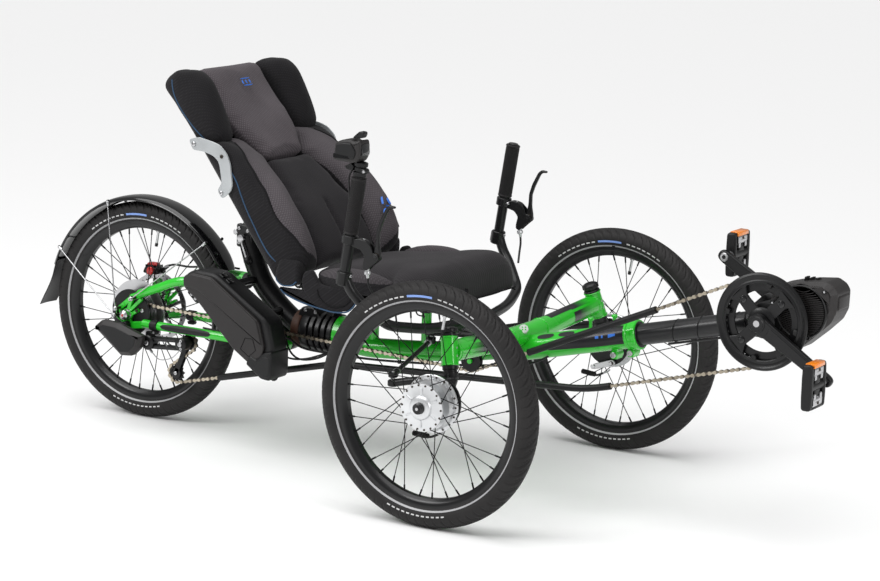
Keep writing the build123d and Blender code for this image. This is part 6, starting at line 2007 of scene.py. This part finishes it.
def make_seat_frames():
    """Bent tubes under the seat and behind the back, with hinge lugs, cross bars and side brackets."""
    black, steel = MAT["black_paint"], MAT["steel"]
    base = Maker()
    corners = [(-445, 150), (-438, 160), (-425, 166), (-305, 166.5), (-201, 166), (-185, 160), (-178, 148),
               (-177, 0)]
    loop = [mm(x, y, 388) for x, y in corners] + [mm(x, -y, 388) for x, y in corners[-2::-1]]
    base.tube(smooth_path(loop, 6), 0.009, black, 24)
    for x in (-252, -385):
        base.rod(mm(x, -160, 388), mm(x, 160, 388), 8, black, 24)
        base.rod(mm(x, 0, 378.6), mm(x, 0, 386), 20, black, 36, 1.4)
        base.slab([(x - 16, 380), (x + 16, 380), (x + 12, 397), (x - 12, 397)], -14, 14, black, 4, 2)
        for side in (-1, 1):
            weld(base, (x, side * 156, 388), (0, 1, 0), 8.6, black, 1.2)
    for side in (-1, 1):
        base.rod(mm(-445, side * 150, 386), mm(-470, side * 150, 392), 9, black, 24)
        base.turned([(0, 159), (12, 159), (13, 158), (13, 142), (12, 141), (0, 141)], beside(SEAT_HINGE),
                    (0, side, 0), black, 32)
        base.rod(mm(-478, side * 120, 402), mm(-478, side * 159, 402), 7, steel, 20)
        base.bolt(mm(-478, side * 159.2, 402), (0, side, 0), 7, steel, 3.4)
    base.build("seat_tubes", "frame", ["seat_base_frame"], sharp=40)
    back = Maker()
    hoop = [(150, 20), (163, 36), (171, 60), (172, 90), (172, 250), (172, 420), (166, 448), (140, 482),
            (112, 497), (60, 500), (0, 500)]
    line = [back_point(-53, y, t) for y, t in hoop] + [back_point(-53, -y, t) for y, t in hoop[-2::-1]]
    back.tube(smooth_path(line, 6), 0.009, black, 24)
    for t in (70, 231, 420):
        back.rod(back_point(-53, -168, t), back_point(-53, 168, t), 8, black, 24)
    hub = beside(SEAT_HINGE)
    for side in (-1, 1):
        path = [back_point(-53, side * 150, 20), back_point(-48, side * 138, 6), mm(-478, side * 131, 402)]
        back.tube(smooth_path(path, 6), 0.0088, black, 24)
        back.turned([(7.2, 140.6), (12.4, 140.6), (13, 139.8), (13, 122.8), (12.4, 122), (7.2, 122)], hub,
                    (0, side, 0), black, 32)
        for t in (231, 420):
            back.rod(back_point(-53, side * 160, t), back_point(-53, side * 171, t), 10.4, black, 28, 1.5)
    rail, section = [], ((243.6, -4), (256.4, -4), (256.4, 4), (243.6, 4))
    for k in range(31):
        a = radians(131 + 47 * k / 30)
        rail.append([mm(SEAT_HINGE[0] + r * cos(a), y, SEAT_HINGE[1] + r * sin(a)) for r, y in section])
    back.capped(rail, black)
    back.build("back_tubes", "backrest", ["back_frame"], sharp=40)
    brackets = Maker()
    silver = MAT["silver_paint"]
    outline = [(-58, 374), (-36, 366), (-8, 336), (2, 322), (7, 298), (2, 276), (-20, 236), (-32, 228),
               (-58, 226), (-58, 246), (-38, 254), (-22, 286), (-19, 298), (-24, 314), (-40, 334),
               (-62, 352)]
    for side in (-1, 1):
        local = rounded([(n / 1000, t / 1000) for n, t in outline], 0.006)
        rows = []
        low, high = span(side, 204.2, 208)
        for inset, y in ((0.8, low), (0, low + 0.8), (0, high - 0.8), (0.8, high)):
            ring = shrink(local[::-1], inset / 1000) if inset else local[::-1]
            rows.append([back_point(n * 1000, y, t * 1000) for n, t in ring])
        brackets.grid(rows, silver)
        brackets.add(rows[0], [tuple(range(len(local)))], silver)
        brackets.add(rows[-1], [tuple(range(len(local)))], silver)
        for t in (360, 237):
            brackets.rod(back_point(-53, side * 181.8, t), back_point(-53, side * 204, t), 6, silver, 24)
            brackets.bolt(back_point(-53, side * 208.2, t), (0, side, 0), 5, steel, 2.4)
        brackets.bolt(back_point(-6, side * 208.2, 300), (0, side, 0), 4, MAT["chain_dark"], 2)
    brackets.build("side_brackets", "backrest", ["back_brackets"], sharp=40)


def make_loose_cables():
    """Cables that leave the frame's tubes: loops beside the steering post and behind the seat."""
    maker = Maker()
    cable = MAT["cable"]
    routes = [[(20, -34, 268), (-60, -31, 257), (-150, -28, 245), (-250, -28, 235), (-350, -31, 228),
               (-430, -34, 226), (-500, -35, 226), (-548, -38, 230), (-575, -50, 248), (-600, -70, 262),
               (-622, -82, 271), (-637, -89, 281)], [(-470, -30, 232), (-500, -46, 214), (-540, -50, 206),
                                                     (-570, -44, 214), (-590, -36, 236), (-598, -30, 262)],
              [(-460, -24, 236), (-492, -52, 222), (-530, -60, 210), (-575, -58, 208), (-640, -50, 226),
               (-720, -48, 236), (-800, -60, 244)], [(60, -20, 292), (40, -30, 280), (10, -33, 270),
                                                     (-40, -30, 262)]]
    for route, radius in zip(routes, (2.6, 2.2, 2.2, 2.4)):
        maker.tube(smooth_path([mm(*p) for p in route], 6), radius / 1000, cable, 10)
    for x, z in ((-100, 251), (-300, 231), (-470, 226)):
        maker.rod(mm(x - 3, -30, z), mm(x + 3, -30, z), 4.4, cable, 14)
    return maker.build("cable_run", "frame", ["frame_cables"], sharp=50)


CAD_FINISH = {"main_frame": "green", "clamp_bolts": "steel", "elastomer": "boot",
              "chain_tubes": "black_plastic", "chainring": "black_paint", "cassette": "steel",
              "idler_wheel": "black_plastic"}

make_camera()
make_studio()
for cad_name, finish_name in CAD_FINISH.items():
    finish_cad(cad_name, finish_name)
make_wheels()
make_seat()
make_battery()
make_motor()
make_chainguard()
make_crank_arms()
for side_name, side_sign in SIDES.items():
    make_pedal(side_name, side_sign)
make_mudguard()
make_stays()
make_chain()
make_handlebar()
make_grips()
make_perches()
for side_name, side_sign in SIDES.items():
    make_brake_lever(side_name, side_sign)
make_control_unit()
make_shift_lever()
make_bar_cables()
make_swingarm()
make_rear_guard()
make_derailleur()
make_cage()
for jockey_name, jockey_place in (("upper", UPPER_JOCKEY), ("lower", LOWER_JOCKEY)):
    make_jockey(jockey_name, jockey_place)
make_caliper()
make_frame_trim()
make_frame_panels()
make_rear_riser()
make_recline_lever()
for side_name, side_sign in SIDES.items():
    make_knuckle(side_name, side_sign)
    make_brake_arm(side_name, side_sign)
    make_link(side_name, side_sign)
make_boom()
make_seat_frames()
make_loose_cables()
